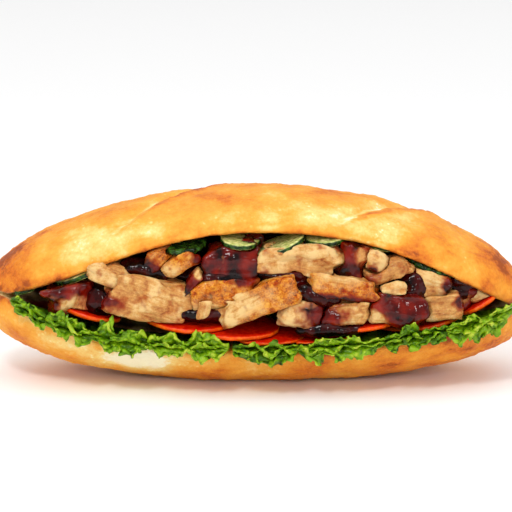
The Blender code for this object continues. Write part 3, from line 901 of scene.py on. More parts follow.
@dataclass
class Roll:
    """The slit roll with its blisters, score cuts and crumbly lips."""

    shape: RollShape
    around: int = 352
    along: int = 250
    crust_share: float = 0.70
    lump: float = 0.7 * MM
    lump_length: float = 17.0 * MM
    score_depth: float = 2.4 * MM
    score_ridge: float = 0.3
    score_width: float = 5.0 * MM
    score_slant: float = 0.9
    scores: tuple[float, float] = (-36.0 * MM, 60.0 * MM)
    score_rag: float = 0.35
    score_rag_length: float = 4.0 * MM
    lip_width: float = 0.03
    lip_rounds: int = 4
    lip_crumble: float = 0.7 * MM
    lip_crumble_length: float = 2.6 * MM
    crust_grain: tuple[tuple[float, float], ...] = ((6.0 * MM, 0.34 * MM), (2.4 * MM, 0.20 * MM))
    crumb_grain: tuple[tuple[float, float], ...] = ((3.0 * MM, 0.35 * MM), (1.2 * MM, 0.20 * MM))
    blister: float = 0.32 * MM
    blister_spacing: float = 4.2 * MM
    blister_radius: float = 0.4
    wide_patch: float = 21.0 * MM
    small_patch: float = 9.0 * MM
    singe_patch: float = 4.0 * MM
    stain_patch: float = 8.0 * MM
    bake_all: float = 0.46
    bake_ends: float = 0.16
    bake_wide: float = 0.26
    bake_small: float = 0.18
    bake_top: float = 0.18
    bake_foot: float = 0.20
    bake_lip: float = 0.34
    bake_ridge: float = 0.30
    crumb_edge: float = 0.012
    stain_edge: tuple[float, float] = (0.01, 0.05)

    def build(self) -> bpy.types.Object:
        """Build the roll in place of its solid.

        Returns:
            The finished piece.
        """
        bm = bmesh.new()
        bmesh.ops.create_uvsphere(bm, u_segments=self.around, v_segments=self.along, radius=1.0)
        shares = self._bend_into_roll(bm)
        turn_outwards(bm)
        self._soften_lips(bm, shares)
        bm.normal_update()
        self._raise_crust(bm, shares)
        highest_y = max(vert.co.y for vert in bm.verts)
        self.shape.set_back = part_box("bread")[1].y - highest_y
        bm.normal_update()
        masks = self._masks(bm, shares)
        bmesh.ops.translate(bm, verts=bm.verts[:], vec=(0.0, self.shape.set_back, 0.0))
        mesh = mesh_of("roll", bm)
        for name, values in masks.items():
            write_mask(mesh, name, values)
        piece = new_piece("roll", mesh, CrustFinish().material())
        return stand_in(piece, "bread_crust", "bread")

    def _bend_into_roll(self, bm: bmesh.types.BMesh) -> list[float]:
        """Move a sphere's points on to the roll.

        Args:
            bm: The sphere, whose poles become the roll's tips.

        Returns:
            Each point's share of the way round, from the lower lip over the crust and
            back through the slit.
        """
        sections: dict[float, tuple[float, Section]] = {}
        shares = []
        for vert in bm.verts:
            share = (math.atan2(vert.co.y, vert.co.x) / (2.0 * math.pi)) % 1.0
            x = 0.5 * self.shape.length * vert.co.z
            if abs(vert.co.z) > 1.0 - 1e-6:
                vert.co = Vector((x, 0.0, self.shape.tips[x >= 0.0]))
                shares.append(0.5 * self.crust_share)
                continue
            station = round(vert.co.z, 5)
            if station not in sections:
                sections[station] = (x, self.shape.section(x))
            x, cut = sections[station]
            if share < self.crust_share:
                y, z = self.shape.crust_point(cut, share / self.crust_share)
            else:
                inside = (share - self.crust_share) / (1.0 - self.crust_share)
                y, z = self.shape.slit_point(x, cut, inside)
            vert.co = Vector((x, y, z))
            shares.append(share)
        return shares

    def _lip(self, share: float) -> float:
        """Say how near a point is to either lip.

        Args:
            share: The point's share of the way round.

        Returns:
            1 on a lip, falling to 0 away from it.
        """
        to_upper = abs(share - self.crust_share)
        to_lower = min(share, 1.0 - share)
        return 1.0 - smooth(0.0, self.lip_width, min(to_upper, to_lower))

    def _soften_lips(self, bm: bmesh.types.BMesh, shares: list[float]) -> None:
        """Round the lips' edges.

        Args:
            bm: The roll's mesh.
            shares: Its points' shares of the way round.
        """
        near = [vert for vert, share in zip(bm.verts, shares) if self._lip(share) > 0.4]
        for _ in range(self.lip_rounds):
            bmesh.ops.smooth_vert(bm, verts=near, factor=0.5, use_axis_x=False, use_axis_y=True,
                                  use_axis_z=True)

    def _score(self, point: Vector) -> tuple[float, float]:
        """Say where a point lies in the score cuts.

        Args:
            point: The point.

        Returns:
            How deep it lies in a cut, and how high on the ridge beside one.
        """
        cut = ridge = 0.0
        ragged = self.score_rag * noise.noise(point / self.score_rag_length)
        for place in self.scores:
            across = (point.x - place - self.score_slant * point.y) / self.score_width + ragged
            cut += swell(across ** 2)
            ridge += swell((across - 1.6) ** 2)
        return cut, ridge

    def _raise_crust(self, bm: bmesh.types.BMesh, shares: list[float]) -> None:
        """Give the crust its lumps, cuts, blisters and ragged lips, and the crumb its grain.

        Args:
            bm: The roll's mesh.
            shares: Its points' shares of the way round.
        """
        for vert, share in zip(bm.verts, shares):
            point = vert.co
            lip = self._lip(share)
            if share < self.crust_share:
                on_top = smooth(0.7, 0.96, vert.normal.z)
                cut, ridge = self._score(point)
                lift = noise.noise(point / self.lump_length) * self.lump
                lift -= self.score_depth * (cut - self.score_ridge * ridge) * on_top
                lift += sum(noise.noise(point / size) * height for size, height in self.crust_grain)
                distances, _ = noise.voronoi(point / self.blister_spacing)
                lift += self.blister * max(0.0, 1.0 - (distances[0] / self.blister_radius) ** 2)
                lift += lip * noise.noise(point / self.lip_crumble_length) * self.lip_crumble
            else:
                lift = sum(noise.noise(point / size) * height for size, height in self.crumb_grain)
            vert.co = point + vert.normal * lift
            vert.co.z = max(0.0, vert.co.z)

    def _bake(self, point: Vector, normal: Vector, lip: float) -> float:
        """Say how much the crust is baked at a point.

        Args:
            point: The point.
            normal: Its normal.
            lip: How near it is to a lip.

        Returns:
            0 where it is floury, 0.5 where it is golden and 1 where it is brown.
        """
        end = abs(2.0 * point.x / self.shape.length)
        bake = self.bake_all + self.bake_ends * smooth(0.70, 1.0, end)
        bake += self.bake_wide * noise.noise(point / self.wide_patch)
        bake += self.bake_small * noise.noise(point / self.small_patch)
        bake += self.bake_top * smooth(0.55, 0.95, normal.z)
        bake += self.bake_foot * smooth(0.45, 0.95, -normal.z)
        bake += self.bake_lip * lip * (0.7 + 0.9 * noise.noise(point / self.singe_patch))
        if point.y < 0.0:
            bake += sum(patch.at(point.x, point.z) for patch in FRONT_PATCHES)
        cut, ridge = self._score(point)
        on_top = smooth(0.86, 0.98, normal.z)
        return bake + on_top * self.bake_ridge * (ridge - smooth(0.7, 0.98, cut))

    def _masks(self, bm: bmesh.types.BMesh, shares: list[float]) -> dict[str, list[float]]:
        """Work out the crust's masks.

        Args:
            bm: The roll's mesh.
            shares: Its points' shares of the way round.

        Returns:
            For each point how baked it is, whether it is crumb, and how stained it is: sauce in the crumb,
            with painted shade deeper in the slit.
        """
        masks: dict[str, list[float]] = {"bake": [], "crumb": [], "stain": []}
        for vert, share in zip(bm.verts, shares):
            inside = max(0.0, min(share - self.crust_share, 1.0 - share))
            masks["bake"].append(self._bake(vert.co, vert.normal, self._lip(share)))
            masks["crumb"].append(smooth(0.0, self.crumb_edge, inside))
            # The stain grows deeper in the slit: sauce in the crumb, and painted shade.
            wet = 0.5 + 0.5 * noise.noise(vert.co / self.stain_patch)
            masks["stain"].append(smooth(*self.stain_edge, inside) * smooth(0.25, 0.6, wet))
        return masks


def curl_at(place: Vector) -> Vector:
    """Three noises at a place, one for each axis."""
    aside = Vector((17.3, 5.9, 31.1))
    return Vector((noise.noise(place), noise.noise(place + aside), noise.noise(place - aside)))


@dataclass(frozen=True)
class LeafPlan:
    """One leaf's place and hang, in millimetres, and how bright its green is."""

    node: str
    left: float
    right: float
    rise: float
    droop: float
    reach: float
    seed: int
    bright: float


LEAF_PLANS = (
    LeafPlan("lettuce_1", -103.5, -89.0, 7.0, 6.0, 3.2, 1, -0.05),
    LeafPlan("lettuce_2", -88.2, -67.0, 8.5, 6.0, 4.2, 2, 0.0),
    LeafPlan("lettuce_3", -66.2, -46.0, 9.5, 6.0, 4.8, 3, 0.0),
    LeafPlan("lettuce_4", -45.2, -12.0, 8.5, 5.5, 4.4, 4, 0.1),
    LeafPlan("lettuce_5", -9.0, 17.0, 4.5, 7.5, 5.0, 5, -0.05),
    LeafPlan("lettuce_6", 18.0, 53.0, 5.5, 7.0, 5.2, 6, 0.08),
    LeafPlan("lettuce_7", 54.0, 80.0, 6.5, 6.5, 4.8, 7, -0.08),
    LeafPlan("lettuce_8", 81.0, 109.0, 5.0, 9.5, 4.6, 8, 0.1),
)


@dataclass
class Lettuce:
    """The frilly leaves that hang over the lower lip, each made of sheets that lie on one another."""

    shape: RollShape
    thickness: float = 0.45 * MM
    lift: float = 1.0 * MM
    crust_room: float = 0.7 * MM
    wave: float = 8.5 * MM
    lobe: float = 4.5 * MM
    back: float = 18.0 * MM
    lying_rows: float = 0.22
    column: float = 0.25 * MM
    rows: int = 40
    sheets: int = 3
    frill: float = 0.7 * MM
    frill_length: float = 4.4 * MM
    curl: float = 2.6 * MM
    curl_length: float = 3.2 * MM
    leaf_width: float = 10.0 * MM
    ragged: float = 1.1 * MM
    calm_x: float = 45.0 * MM
    calm_width: float = 8.0 * MM
    calm_share: float = 0.7
    sheet_turn: float = 2.2
    seed_step: float = 11.0
    sheet_step: float = 5.0
    lobe_share: float = 0.24
    small_lobe_share: float = 0.20
    small_lobes: float = 2.9
    end_rounding: float = 0.35
    end_lift: float = 0.4
    wave_noise: float = 1.5
    wave_swing: float = 0.35
    sheet_mixing: float = 0.6
    hang_curve: float = 1.4
    wide_curl: float = 0.8
    fine_curl: float = 0.4
    fine_curls: float = 2.1
    frill_wander: float = 6.0
    green: float = 0.44

    def build(self) -> list[bpy.types.Object]:
        """Build every leaf in place of its solid.

        Returns:
            The finished leaves.
        """
        material = LeafFinish().material()
        pieces = []
        for plan in LEAF_PLANS:
            bm = bmesh.new()
            values: list[float] = []
            for sheet in range(self.sheets):
                values += self._sheet(bm, plan, sheet)
            mesh = mesh_of(plan.node, bm)
            write_mask(mesh, "ridge", values)
            piece = new_piece(plan.node.replace("lettuce", "leaf"), mesh, material)
            body = piece.modifiers.new("thickness", "SOLIDIFY")
            body.thickness = self.thickness
            body.offset = 0.0
            settle(piece)
            pieces.append(stand_in(piece, "lettuce_leaf", plan.node))
        return pieces

    def _sheet(self, bm: bmesh.types.BMesh, plan: LeafPlan, sheet: int) -> list[float]:
        """Add one frilly sheet of a leaf.

        Args:
            bm: The mesh that it joins.
            plan: The leaf's place and hang.
            sheet: The sheet's number, with 0 for the lowest.

        Returns:
            The painted light and shade of each of its points, from 0 in its shaded hollows to 1 on its lit
            folds.
        """
        turn = random.Random(plan.seed).uniform(0.0, 2.0 * math.pi) + self.sheet_turn * sheet
        shift = self.seed_step * plan.seed + self.sheet_step * sheet
        columns = int((plan.right * MM - plan.left * MM) / self.column)
        made = bmesh.ops.create_grid(bm, x_segments=columns, y_segments=self.rows, size=0.5)
        values = []
        for vert in made["verts"]:
            u, s = vert.co.x + 0.5, 0.5 - vert.co.y
            out = self._outward(plan, u, s, shift)
            lying = self._hang(plan, u, s, out, (sheet, turn, shift))
            vert.co, bright = self._curled(plan, u, out, lying, (turn, shift))
            values.append(bright)
        return values

    def _outward(self, plan: LeafPlan, u: float, s: float, shift: float) -> float:
        """Say how far out of the slit a point of a sheet hangs.

        Args:
            plan: The leaf's place and hang.
            u: The point's share of the way along the leaf.
            s: Its share of the way from the leaf's back to its rim.
            shift: The sheet's own place in the noise.

        Returns:
            0 where it lies in the slit, rising to about 1 at the lobed rim.
        """
        out = max(0.0, (s - self.lying_rows) / (1.0 - self.lying_rows))
        lobe = Vector((self._along(plan, u) / self.lobe, shift, 0.0))
        small_lobe = self.small_lobe_share * noise.noise(lobe * self.small_lobes)
        out *= 1.0 + self.lobe_share * noise.noise(lobe) + small_lobe
        return out * (1.0 - self.end_rounding * abs(2.0 * u - 1.0) ** 9)

    def _along(self, plan: LeafPlan, u: float) -> float:
        """The x at a share of the way along a leaf."""
        return plan.left * MM + (plan.right * MM - plan.left * MM) * u

    def _hang(self, plan: LeafPlan, u: float, s: float, out: float,
              sheet: tuple[int, float, float]) -> tuple[float, float, float]:
        """Find where a point of a sheet lies before it curls.

        Args:
            plan: The leaf's place and hang.
            u: The point's share of the way along the leaf.
            s: Its share of the way from the leaf's back to its rim.
            out: How far it hangs out of the slit.
            sheet: The sheet's number, its turn and its own place in the noise.

        Returns:
            The place.
        """
        number, turn, shift = sheet
        x = self._along(plan, u)
        waves = (plan.right * MM - plan.left * MM) / self.wave
        wave = self.wave_noise * noise.noise(Vector((x / self.wave, shift, 0.0)))
        wave += self.wave_swing * math.sin(2.0 * math.pi * waves * u + turn)
        layer = clip((number + 0.5 + self.sheet_mixing * wave) / self.sheets)
        ends = 1.0 - self.end_lift * abs(2.0 * u - 1.0) ** 4
        inner = max(0.0, 1.0 - s / self.lying_rows)
        lies_back = min(self.back, 0.5 * self.shape.slit_depth(x))
        front = self.shape.front(x, self.shape.lower_lip(x))
        reach = plan.reach * MM * ends * math.sin(min(1.4, 0.5 * math.pi * out))
        y = front + lies_back * inner - reach
        hang = (plan.rise + plan.droop) * layer - plan.droop
        z = self.shape.slit_floor(x, y) + self.lift + out ** self.hang_curve * hang * ends * MM
        return x, y, z

    def _curled(self, plan: LeafPlan, u: float, out: float, lying: tuple[float, float, float],
                sheet: tuple[float, float]) -> tuple[Vector, float]:
        """Curl and frill a point of a sheet, and keep it off the crust.

        Args:
            plan: The leaf's place and hang.
            u: The point's share of the way along the leaf.
            out: How far it hangs out of the slit.
            lying: Its place before it curls.
            sheet: The sheet's turn and its own place in the noise.

        Returns:
            Its place, and its painted light and shade.
        """
        turn, shift = sheet
        x, y, z = lying
        calm = 1.0 - self.calm_share * swell(((x - self.calm_x) / self.calm_width) ** 2)
        place = Vector((x, self.leaf_width * out, shift * self.curl_length)) / self.curl_length
        curl = curl_at(place) * self.wide_curl + curl_at(place * self.fine_curls) * self.fine_curl
        size = self.curl * out * calm
        frill = 2.0 * math.pi * x / self.frill_length + self.frill_wander * curl.z + turn
        rim = self.frill * out * out * calm
        inside = 1.0 - abs(2.0 * u - 1.0) ** 6
        x += inside * (size * curl.x + 0.5 * rim * math.sin(2.0 * frill))
        x += (1.0 - inside) * self.ragged * (curl.x + math.copysign(0.5, u - 0.5))
        y -= 1.2 * size * (curl.y + 0.3) + rim * math.cos(frill)
        z += 0.8 * size * curl.z + 0.6 * rim * math.sin(frill + 0.9)
        if out > 0.0:
            y = min(y, self.shape.front(x, z) - self.crust_room)
        # Painted light and shade: brighter where the frills and curls push the leaf forward and towards its
        # rim, on top of the leaf's own green.
        shade = self.green + plan.bright + 0.12 * math.cos(frill) * out + 0.5 * curl.y
        return Vector((x, y, z)), clip(shade + 0.20 * (out - 0.5))


@dataclass
class Slices:
    """Thin round slices, refined from their solids: carrots and cucumbers."""

    kind: str
    slot: str
    material: bpy.types.Material
    count: int = 8
    voxel: float = 0.4 * MM
    rounds: int = 3
    lump: float = 0.1 * MM
    lump_length: float = 2.2 * MM
    wart: float = 0.0
    wart_spacing: float = 1.9 * MM
    wart_radius: float = 0.5
    rim_edge: tuple[float, float] = (0.55, 0.8)
    all_rind: tuple[int, ...] = ()

    def build(self) -> list[bpy.types.Object]:
        """Build every slice in place of its solid.

        Returns:
            The finished slices.
        """
        pieces = []
        for number in range(1, self.count + 1):
            node = f"{self.kind}_{number}"
            name = f"{self.kind}_slice_{number}"
            piece = fine_copy(node, name, self.material, self.voxel, self.rounds)
            self._dress(piece.data, number in self.all_rind)
            pieces.append(stand_in(piece, self.slot, node))
        return pieces

    def _dress(self, mesh: bpy.types.Mesh, all_rind: bool) -> None:
        """Roughen a slice and mark its rim.

        Args:
            mesh: The slice's mesh.
            all_rind: Whether all of it is marked as rim.
        """
        facing = sum((face.normal * face.area for face in mesh.polygons if face.normal.z > 0.7), Vector())
        axis = facing.normalized()
        rims, lifts = [], []
        for vert in mesh.vertices:
            flat = abs(vert.normal.dot(axis))
            rim = 1.0 if all_rind else 1.0 - smooth(*self.rim_edge, flat)
            rims.append(rim)
            lift = noise.noise(vert.co / self.lump_length) * self.lump
            if self.wart:
                distances, _ = noise.voronoi(vert.co / self.wart_spacing)
                lift += rim * self.wart * max(0.0, 1.0 - (distances[0] / self.wart_radius) ** 2)
            lifts.append(lift)
        raise_points(mesh, lifts)
        write_mask(mesh, "rim", rims)


WART_HEIGHT = 0.35 * MM
# The second and the seventh cucumber slice show nothing but rind
ALL_RIND_SLICES = (2, 7)


class Stain(Enum):
    """How a spot of the meat differs: more glaze, less glaze or less sear."""

    SAUCE = "sauce"
    BARE = "bare"
    PALE = "pale"


class Look(Enum):
    """The main finish of a piece of meat, with its slot."""

    PALE = "chicken_meat"
    SEARED = "chicken_seared"
    GLAZED = "chicken_glazed"


@dataclass(frozen=True)
class Spot:
    """A stained spot on a piece, placed by shares of its half length and half height."""

    stain: Stain
    x: float
    z: float
    size: float

    def at(self, x: float, z: float) -> float:
        """How strong it is at a place on the piece."""
        return swell(((x - self.x) ** 2 + (z - self.z) ** 2) / (self.size * self.size))


@dataclass(frozen=True)
class MeatPlan:
    """A piece of meat: its number, look, slope of fibres, spots, and how dark and torn it is."""

    number: int
    look: Look
    slope: float
    spots: tuple[Spot, ...] = ()
    shade: float = 0.0


BED_PLAN = MeatPlan(0, Look.GLAZED, 10.0)
MEAT_PLANS = (
    MeatPlan(1, Look.GLAZED, 60.0, (Spot(Stain.BARE, 0.0, -0.25, 0.5),), 0.3),
    MeatPlan(2, Look.PALE, -20.0, (Spot(Stain.SAUCE, 1.0, -0.7, 0.5),), -0.1),
    MeatPlan(3, Look.PALE, -18.0,
             (Spot(Stain.SAUCE, -1.0, -0.1, 0.3), Spot(Stain.SAUCE, 0.9, 1.0, 0.35)), 0.2),
    MeatPlan(4, Look.SEARED, 52.0, (Spot(Stain.SAUCE, -0.7, -0.7, 0.8),)),
    MeatPlan(5, Look.SEARED, 34.0, (Spot(Stain.PALE, -0.7, -0.4, 0.5), Spot(Stain.SAUCE, 1.0, 0.6, 0.5))),
    MeatPlan(6, Look.GLAZED, 55.0, (Spot(Stain.BARE, 0.5, 0.6, 0.5),)),
    MeatPlan(7, Look.GLAZED, 0.0),
    MeatPlan(8, Look.SEARED, 4.0, (Spot(Stain.PALE, -0.5, -0.9, 0.45), Spot(Stain.SAUCE, 0.6, 1.0, 0.4))),
    MeatPlan(9, Look.SEARED, 20.0, (Spot(Stain.PALE, -0.75, -0.5, 0.5), Spot(Stain.PALE, -0.3, 0.1, 0.35))),
    MeatPlan(10, Look.PALE, 80.0, (), -0.1),
    MeatPlan(11, Look.PALE, -4.0, (Spot(Stain.SAUCE, -1.0, -0.9, 0.35), Spot(Stain.SAUCE, 1.0, 0.9, 0.35))),
    MeatPlan(12, Look.GLAZED, 80.0, (Spot(Stain.BARE, 0.5, 0.3, 0.4),), 0.6),
    MeatPlan(13, Look.PALE, -30.0, (Spot(Stain.SAUCE, -0.4, -1.0, 0.5),), -0.3),
    MeatPlan(14, Look.PALE, 14.0, (Spot(Stain.SAUCE, -1.0, -0.6, 0.4),), 0.6),
    MeatPlan(15, Look.SEARED, -7.0,
             (Spot(Stain.PALE, 0.0, 1.0, 0.6), Spot(Stain.SAUCE, -0.8, -1.0, 0.7),
              Spot(Stain.SAUCE, 0.3, -1.1, 0.6))),
    MeatPlan(16, Look.PALE, 4.0, (), -0.3),
    MeatPlan(17, Look.PALE, -50.0, (Spot(Stain.SAUCE, 0.9, 0.0, 0.8),), -0.3),
    MeatPlan(18, Look.PALE, 4.0, (Spot(Stain.SAUCE, -1.0, 0.0, 0.9),), 0.5),
    MeatPlan(19, Look.GLAZED, -6.0, (Spot(Stain.BARE, -0.85, -0.3, 0.45),)),
    MeatPlan(20, Look.PALE, -14.0, (Spot(Stain.SAUCE, 1.0, -0.2, 0.5),), -0.1),
    MeatPlan(21, Look.PALE, 4.0, (Spot(Stain.SAUCE, 1.0, 0.5, 0.5),), 0.55),
    MeatPlan(22, Look.GLAZED, 0.0),
    MeatPlan(23, Look.PALE, -14.0, (Spot(Stain.SAUCE, -1.0, -0.6, 0.4),)),
    MeatPlan(24, Look.GLAZED, 0.0, (Spot(Stain.BARE, 0.0, 0.3, 0.6),), 0.8),
)


@dataclass
class Chicken:
    """The torn pieces of grilled chicken, refined from their solids, and the saucy bed behind them."""

    shape: RollShape
    sauce: bpy.types.Material
    voxel: float = 0.48 * MM
    rounds: int = 22
    fibre: float = 1.0 * MM
    fibre_length: float = 8.0 * MM
    fibre_height: float = 0.16 * MM
    split: float = 0.55 * MM
    split_width: float = 3.4 * MM
    tear: float = 0.5 * MM
    tear_length: float = 4.5 * MM
    lump: float = 1.0 * MM
    lump_length: float = 7.5 * MM
    pit: float = 0.3 * MM
    pit_spacing: float = 1.5 * MM
    pit_radius: float = 0.45
    glaze_height: float = 0.3 * MM
    glaze_length: float = 3.5 * MM
    stain_ragged: tuple[tuple[float, float], ...] = ((4.0 * MM, 0.35), (1.6 * MM, 0.2))
    ceiling_room: float = 0.5 * MM
    piece_step: float = 37.0 * MM
    loose_stretch: float = 0.35
    split_sharpness: float = 7.0
    split_share: float = 0.55
    tear_curve: float = 0.7
    seared: tuple[float, float] = (0.85, 0.08)
    glazed: tuple[float, float] = (0.9, 0.05)
    more_glaze: float = 1.1
    less_glaze: float = 1.2
    less_sear: float = 1.2
    hollow: float = 0.35

    def build(self) -> list[bpy.types.Object]:
        """Build every piece in place of its solid.

        Returns:
            The finished pieces, with the bed last.
        """
        finishes = {look: MeatFinish(look.value).material() for look in Look}
        pieces = []
        for plan in MEAT_PLANS:
            node = f"chicken_{plan.number:02d}"
            piece = fine_copy(node, f"meat_{plan.number:02d}", finishes[plan.look], self.voxel, self.rounds)
            self._dress(piece.data, plan)
            pieces.append(stand_in(piece, plan.look.value, node))
        bed = fine_copy("chicken_bed", "meat_bed", self.sauce, 2.0 * self.voxel, self.rounds)
        self._dress(bed.data, BED_PLAN)
        pieces.append(stand_in(bed, BED_PLAN.look.value, "chicken_bed"))
        return pieces

    def _masks_at(self, plan: MeatPlan, point: Vector, x: float, z: float) -> tuple[float, float]:
        """Say how seared and how glazed a point is.

        Args:
            plan: The piece's plan.
            point: The point.
            x: Its place along the piece, in half lengths from the middle.
            z: Its height on the piece, in half heights from the middle.

        Returns:
            The sear and the glaze, each from 0 to 1.
        """
        ragged = sum(height * noise.noise(point / size) for size, height in self.stain_ragged)
        sear = self.seared[plan.look is not Look.SEARED]
        glaze = self.glazed[plan.look is not Look.GLAZED]
        for spot in plan.spots:
            strength = spot.at(x, z)
            if spot.stain is Stain.SAUCE:
                glaze += self.more_glaze * strength
            elif spot.stain is Stain.BARE:
                glaze -= self.less_glaze * strength
            else:
                sear -= self.less_sear * strength
        return clip(sear + ragged), clip(glaze + ragged)

    def _dress(self, mesh: bpy.types.Mesh, plan: MeatPlan) -> None:
        """Give a piece its fibres, tears, pits and masks.

        Args:
            mesh: The piece's mesh.
            plan: The piece's plan.
        """
        points = [vert.co for vert in mesh.vertices]
        low = Vector([min(point[k] for point in points) for k in range(3)])
        high = Vector([max(point[k] for point in points) for k in range(3)])
        middle, half = (low + high) * 0.5, (high - low) * 0.5
        lie = Matrix.Rotation(math.radians(plan.slope), 3, "Y")
        masks: dict[str, list[float]] = {"sear": [], "glaze": [], "hollow": []}
        grain: list[float] = []
        lifts: list[float] = []
        for vert in mesh.vertices:
            place = vert.co - middle
            sear, glaze = self._masks_at(plan, vert.co, place.x / half.x, place.z / half.z)
            lift, hollow, strand = self._relief_at(plan, vert.co, lie @ place, sear, glaze)
            lifts.append(lift)
            masks["sear"].append(sear)
            masks["glaze"].append(glaze)
            masks["hollow"].append(hollow)
            grain += list(strand)
        raise_points(mesh, lifts)
        self._keep_under_crust(mesh)
        for name, values in masks.items():
            write_mask(mesh, name, values)
        mesh.attributes.new("grain", "FLOAT_VECTOR", "POINT").data.foreach_set("vector", grain)

    def _relief_at(self, plan: MeatPlan, point: Vector, lying: Vector, sear: float,
                   glaze: float) -> tuple[float, float, Vector]:
        """Work out the relief at a point.

        Args:
            plan: The piece's plan.
            point: The point.
            lying: Its place on the piece, turned so that the fibres run along x.
            sear: How seared it is.
            glaze: How glazed it is.

        Returns:
            How far it is raised, its painted shade in splits and hollows together with the piece's own tone,
            and its place among the fibres.
        """
        shift = Vector((0.0, 0.0, self.piece_step * plan.number))
        strand = Vector((lying.x * self.fibre / self.fibre_length, lying.y, lying.z)) + shift
        loose = Vector((lying.x * self.loose_stretch, lying.y, lying.z)) + shift
        thread = noise.noise(strand / self.fibre) + 0.5 * noise.noise(strand / (0.5 * self.fibre))
        split = max(0.0, 1.0 - self.split_sharpness * abs(noise.noise(loose / self.split_width)))
        split *= clip(self.split_share + plan.shade)
        torn = signed_power(noise.noise((loose + shift) / self.tear_length), self.tear_curve)
        lump = noise.noise((point + shift) / self.lump_length)
        bare = 1.0 - smooth(0.3, 0.7, glaze)
        lift = self.lump * lump + self.tear * torn
        lift += self.fibre_height * thread * bare * (1.0 - 0.6 * sear)
        lift -= self.split * split * (0.3 + 0.7 * bare) * (1.0 - 0.7 * sear)
        distances, _ = noise.voronoi(point / self.pit_spacing)
        lift -= self.pit * sear * bare * max(0.0, 1.0 - distances[0] / self.pit_radius)
        lift += self.glaze_height * (1.0 - bare) * (0.6 + noise.noise(point / self.glaze_length))
        # Painted shade in the splits, tears and dips, with each piece's own tone added.
        hollow = clip(self.hollow + plan.shade - 0.6 * lump - 0.5 * torn + 0.8 * split * bare)
        return lift, hollow, strand

    def _keep_under_crust(self, mesh: bpy.types.Mesh) -> None:
        """Hold a piece below the slit's ceiling, where it lies behind the upper lip.

        Args:
            mesh: The piece's mesh.
        """
        points = []
        for vert in mesh.vertices:
            x, y, z = vert.co
            if y > self.shape.front(x, self.shape.upper_lip(x)) - self.ceiling_room:
                z = min(z, self.shape.slit_ceiling(x, y) - self.ceiling_room)
            points += [x, y, z]
        mesh.vertices.foreach_set("co", points)
        mesh.update()


@dataclass(frozen=True)
class Pool:
    """A blob of sauce between the pieces: its middle and half sizes in millimetres, and its slope."""

    x: float
    y: float
    z: float
    wide: float
    deep: float
    high: float
    slope: float = 0.0


POOLS = (
    Pool(25.0, -34.5, 42.5, 12.0, 7.0, 6.0, -14.0),
    Pool(31.0, -36.5, 28.0, 15.0, 6.0, 4.0, 2.0),
    Pool(-46.0, -28.5, 52.0, 12.0, 7.0, 4.5, -10.0),
    Pool(-13.0, -32.0, 49.5, 13.0, 7.0, 4.0, 0.0),
    Pool(-66.0, -27.0, 38.5, 8.0, 7.0, 7.5, 0.0),
    Pool(12.0, -33.0, 51.0, 12.0, 6.0, 3.4, 0.0),
    Pool(-22.0, -34.0, 34.5, 18.0, 6.0, 3.5, 0.0),
    Pool(66.0, -29.0, 44.0, 7.0, 6.0, 8.0, 0.0),
    Pool(87.0, -20.0, 42.0, 8.0, 5.0, 6.0, 0.0),
    Pool(40.0, -31.0, 47.0, 8.0, 6.0, 5.0, 0.0),
)


@dataclass
class Sauce:
    """The thick sauce that has run together between the pieces."""

    shape: RollShape
    material: bpy.types.Material
    voxel: float = 0.6 * MM
    rounds: int = 6
    lump: float = 0.9 * MM
    lump_length: float = 4.0 * MM
    around: int = 32
    rings: int = 20

    def build(self) -> bpy.types.Object:
        """Build the pools as one smooth mass.

        Returns:
            The finished piece, which takes no solid's place.
        """
        bm = bmesh.new()
        for pool in POOLS:
            turn = Matrix.Rotation(math.radians(-pool.slope), 4, "Y")
            size = Matrix.Diagonal((pool.wide * MM, pool.deep * MM, pool.high * MM, 1.0))
            spot = Matrix.Translation((pool.x * MM, pool.y * MM + self.shape.set_back, pool.z * MM))
            bmesh.ops.create_uvsphere(bm, u_segments=self.around, v_segments=self.rings, radius=1.0,
                                      matrix=spot @ turn @ size)
        piece = new_piece("sauce", mesh_of("sauce", bm), self.material)
        refine(piece, self.voxel, self.rounds)
        mesh = piece.data
        raise_points(mesh, [noise.noise(vert.co / self.lump_length) * self.lump for vert in mesh.vertices])
        return stand_in(piece, Look.GLAZED.value)


@dataclass(frozen=True)
class Lamp:
    """A square light: its name, place, size and power."""

    name: str
    place: tuple[float, float, float]
    size: float
    power: float


LAMPS = (
    Lamp("overhead", (0.0, 0.4, 3.0), 6.0, 80.0),
    Lamp("key", (-0.25, -0.60, 0.80), 0.19, 3.0),
    Lamp("fill", (0.70, -0.70, 0.50), 0.20, 1.1),
    Lamp("glint_left", (-0.30, -0.95, 0.45), 0.09, 0.75),
    Lamp("glint_right", (0.28, -0.95, 0.36), 0.09, 0.65),
)


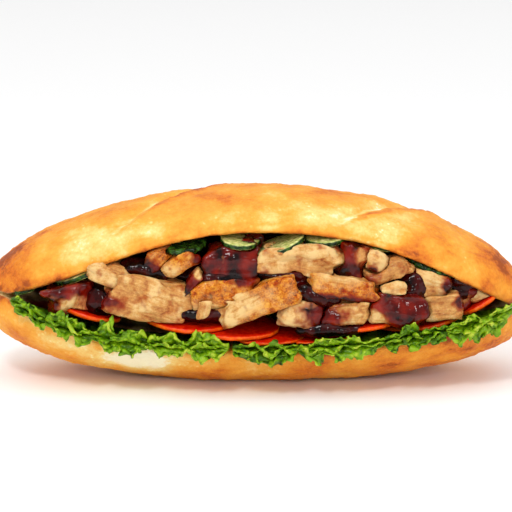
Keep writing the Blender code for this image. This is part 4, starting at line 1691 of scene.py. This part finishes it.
@dataclass
class Studio:
    """A pale floor, soft lights and the camera."""

    distance: float = 0.9
    elevation: float = 12.0
    aim: float = 52.0 * MM
    pixel: float = 0.4348 * MM
    frame_pixels: int = 512
    sensor: float = 36.0
    floor_size: float = 12.0
    surround_strength: float = 0.57

    def build(self) -> None:
        """Set up the floor, the lights, the world and the camera."""
        self._floor()
        self._world()
        for lamp in LAMPS:
            self._light(lamp)
        self._camera()

    def _floor(self) -> None:
        """A wide pale floor."""
        bm = bmesh.new()
        bmesh.ops.create_grid(bm, x_segments=1, y_segments=1, size=0.5 * self.floor_size)
        paint = Paint("pale_floor")
        floor = new_piece("floor", mesh_of("floor", bm), paint.finish(tone(255, 255, 255), 0.8))

    def _world(self) -> None:
        """An even white surround."""
        world = bpy.data.worlds.new("white")
        world.use_nodes = True
        surround = world.node_tree.nodes["Background"]
        surround.inputs["Color"].default_value = (1.0, 1.0, 1.0, 1.0)
        surround.inputs["Strength"].default_value = self.surround_strength
        bpy.context.scene.world = world
        bpy.context.scene.view_settings.view_transform = "Standard"

    def _light(self, lamp: Lamp) -> None:
        """Turn a light to the sandwich.

        Args:
            lamp: The light.
        """
        data = bpy.data.lights.new(lamp.name, "AREA")
        data.size = lamp.size
        data.energy = lamp.power
        light = bpy.data.objects.new(lamp.name, data)
        light.location = lamp.place
        towards = Vector((0.0, 0.0, self.aim)) - Vector(lamp.place)
        light.rotation_euler = towards.to_track_quat("-Z", "Y").to_euler()
        bpy.context.scene.collection.objects.link(light)

    def _camera(self) -> None:
        """The camera, a little above the sandwich and straight in front of it."""
        lift = math.radians(self.elevation)
        data = bpy.data.cameras.new("camera")
        data.sensor_width = self.sensor
        data.lens = self.sensor * self.distance / (self.pixel * self.frame_pixels)
        camera = bpy.data.objects.new("camera", data)
        camera.location = (0.0, -self.distance * math.cos(lift), self.aim + self.distance * math.sin(lift))
        camera.rotation_euler = (0.5 * math.pi - lift, 0.0, 0.0)
        bpy.context.scene.collection.objects.link(camera)
        bpy.context.scene.camera = camera


def main() -> None:
    """Build the studio and the sandwich, and report each piece."""
    logging.basicConfig(level=logging.INFO, format="%(message)s")
    Studio().build()
    shape = RollShape()
    sauce = SauceFinish().material()
    # The roll comes first, because it sets how far back the whole shape stands
    pieces = [Roll(shape).build()]
    pieces += Lettuce(shape).build()
    pieces += Slices("carrot", "carrot_flesh", CarrotFinish().material()).build()
    pieces += Slices("cucumber", "cucumber_rind", CucumberFinish().material(), wart=WART_HEIGHT,
                     all_rind=ALL_RIND_SLICES).build()
    pieces += Chicken(shape, sauce).build()
    pieces.append(Sauce(shape, sauce).build())
    for piece in pieces:
        LOG.info("%s: %d faces", piece.name, len(piece.data.polygons))


if __name__ == "__main__":
    main()
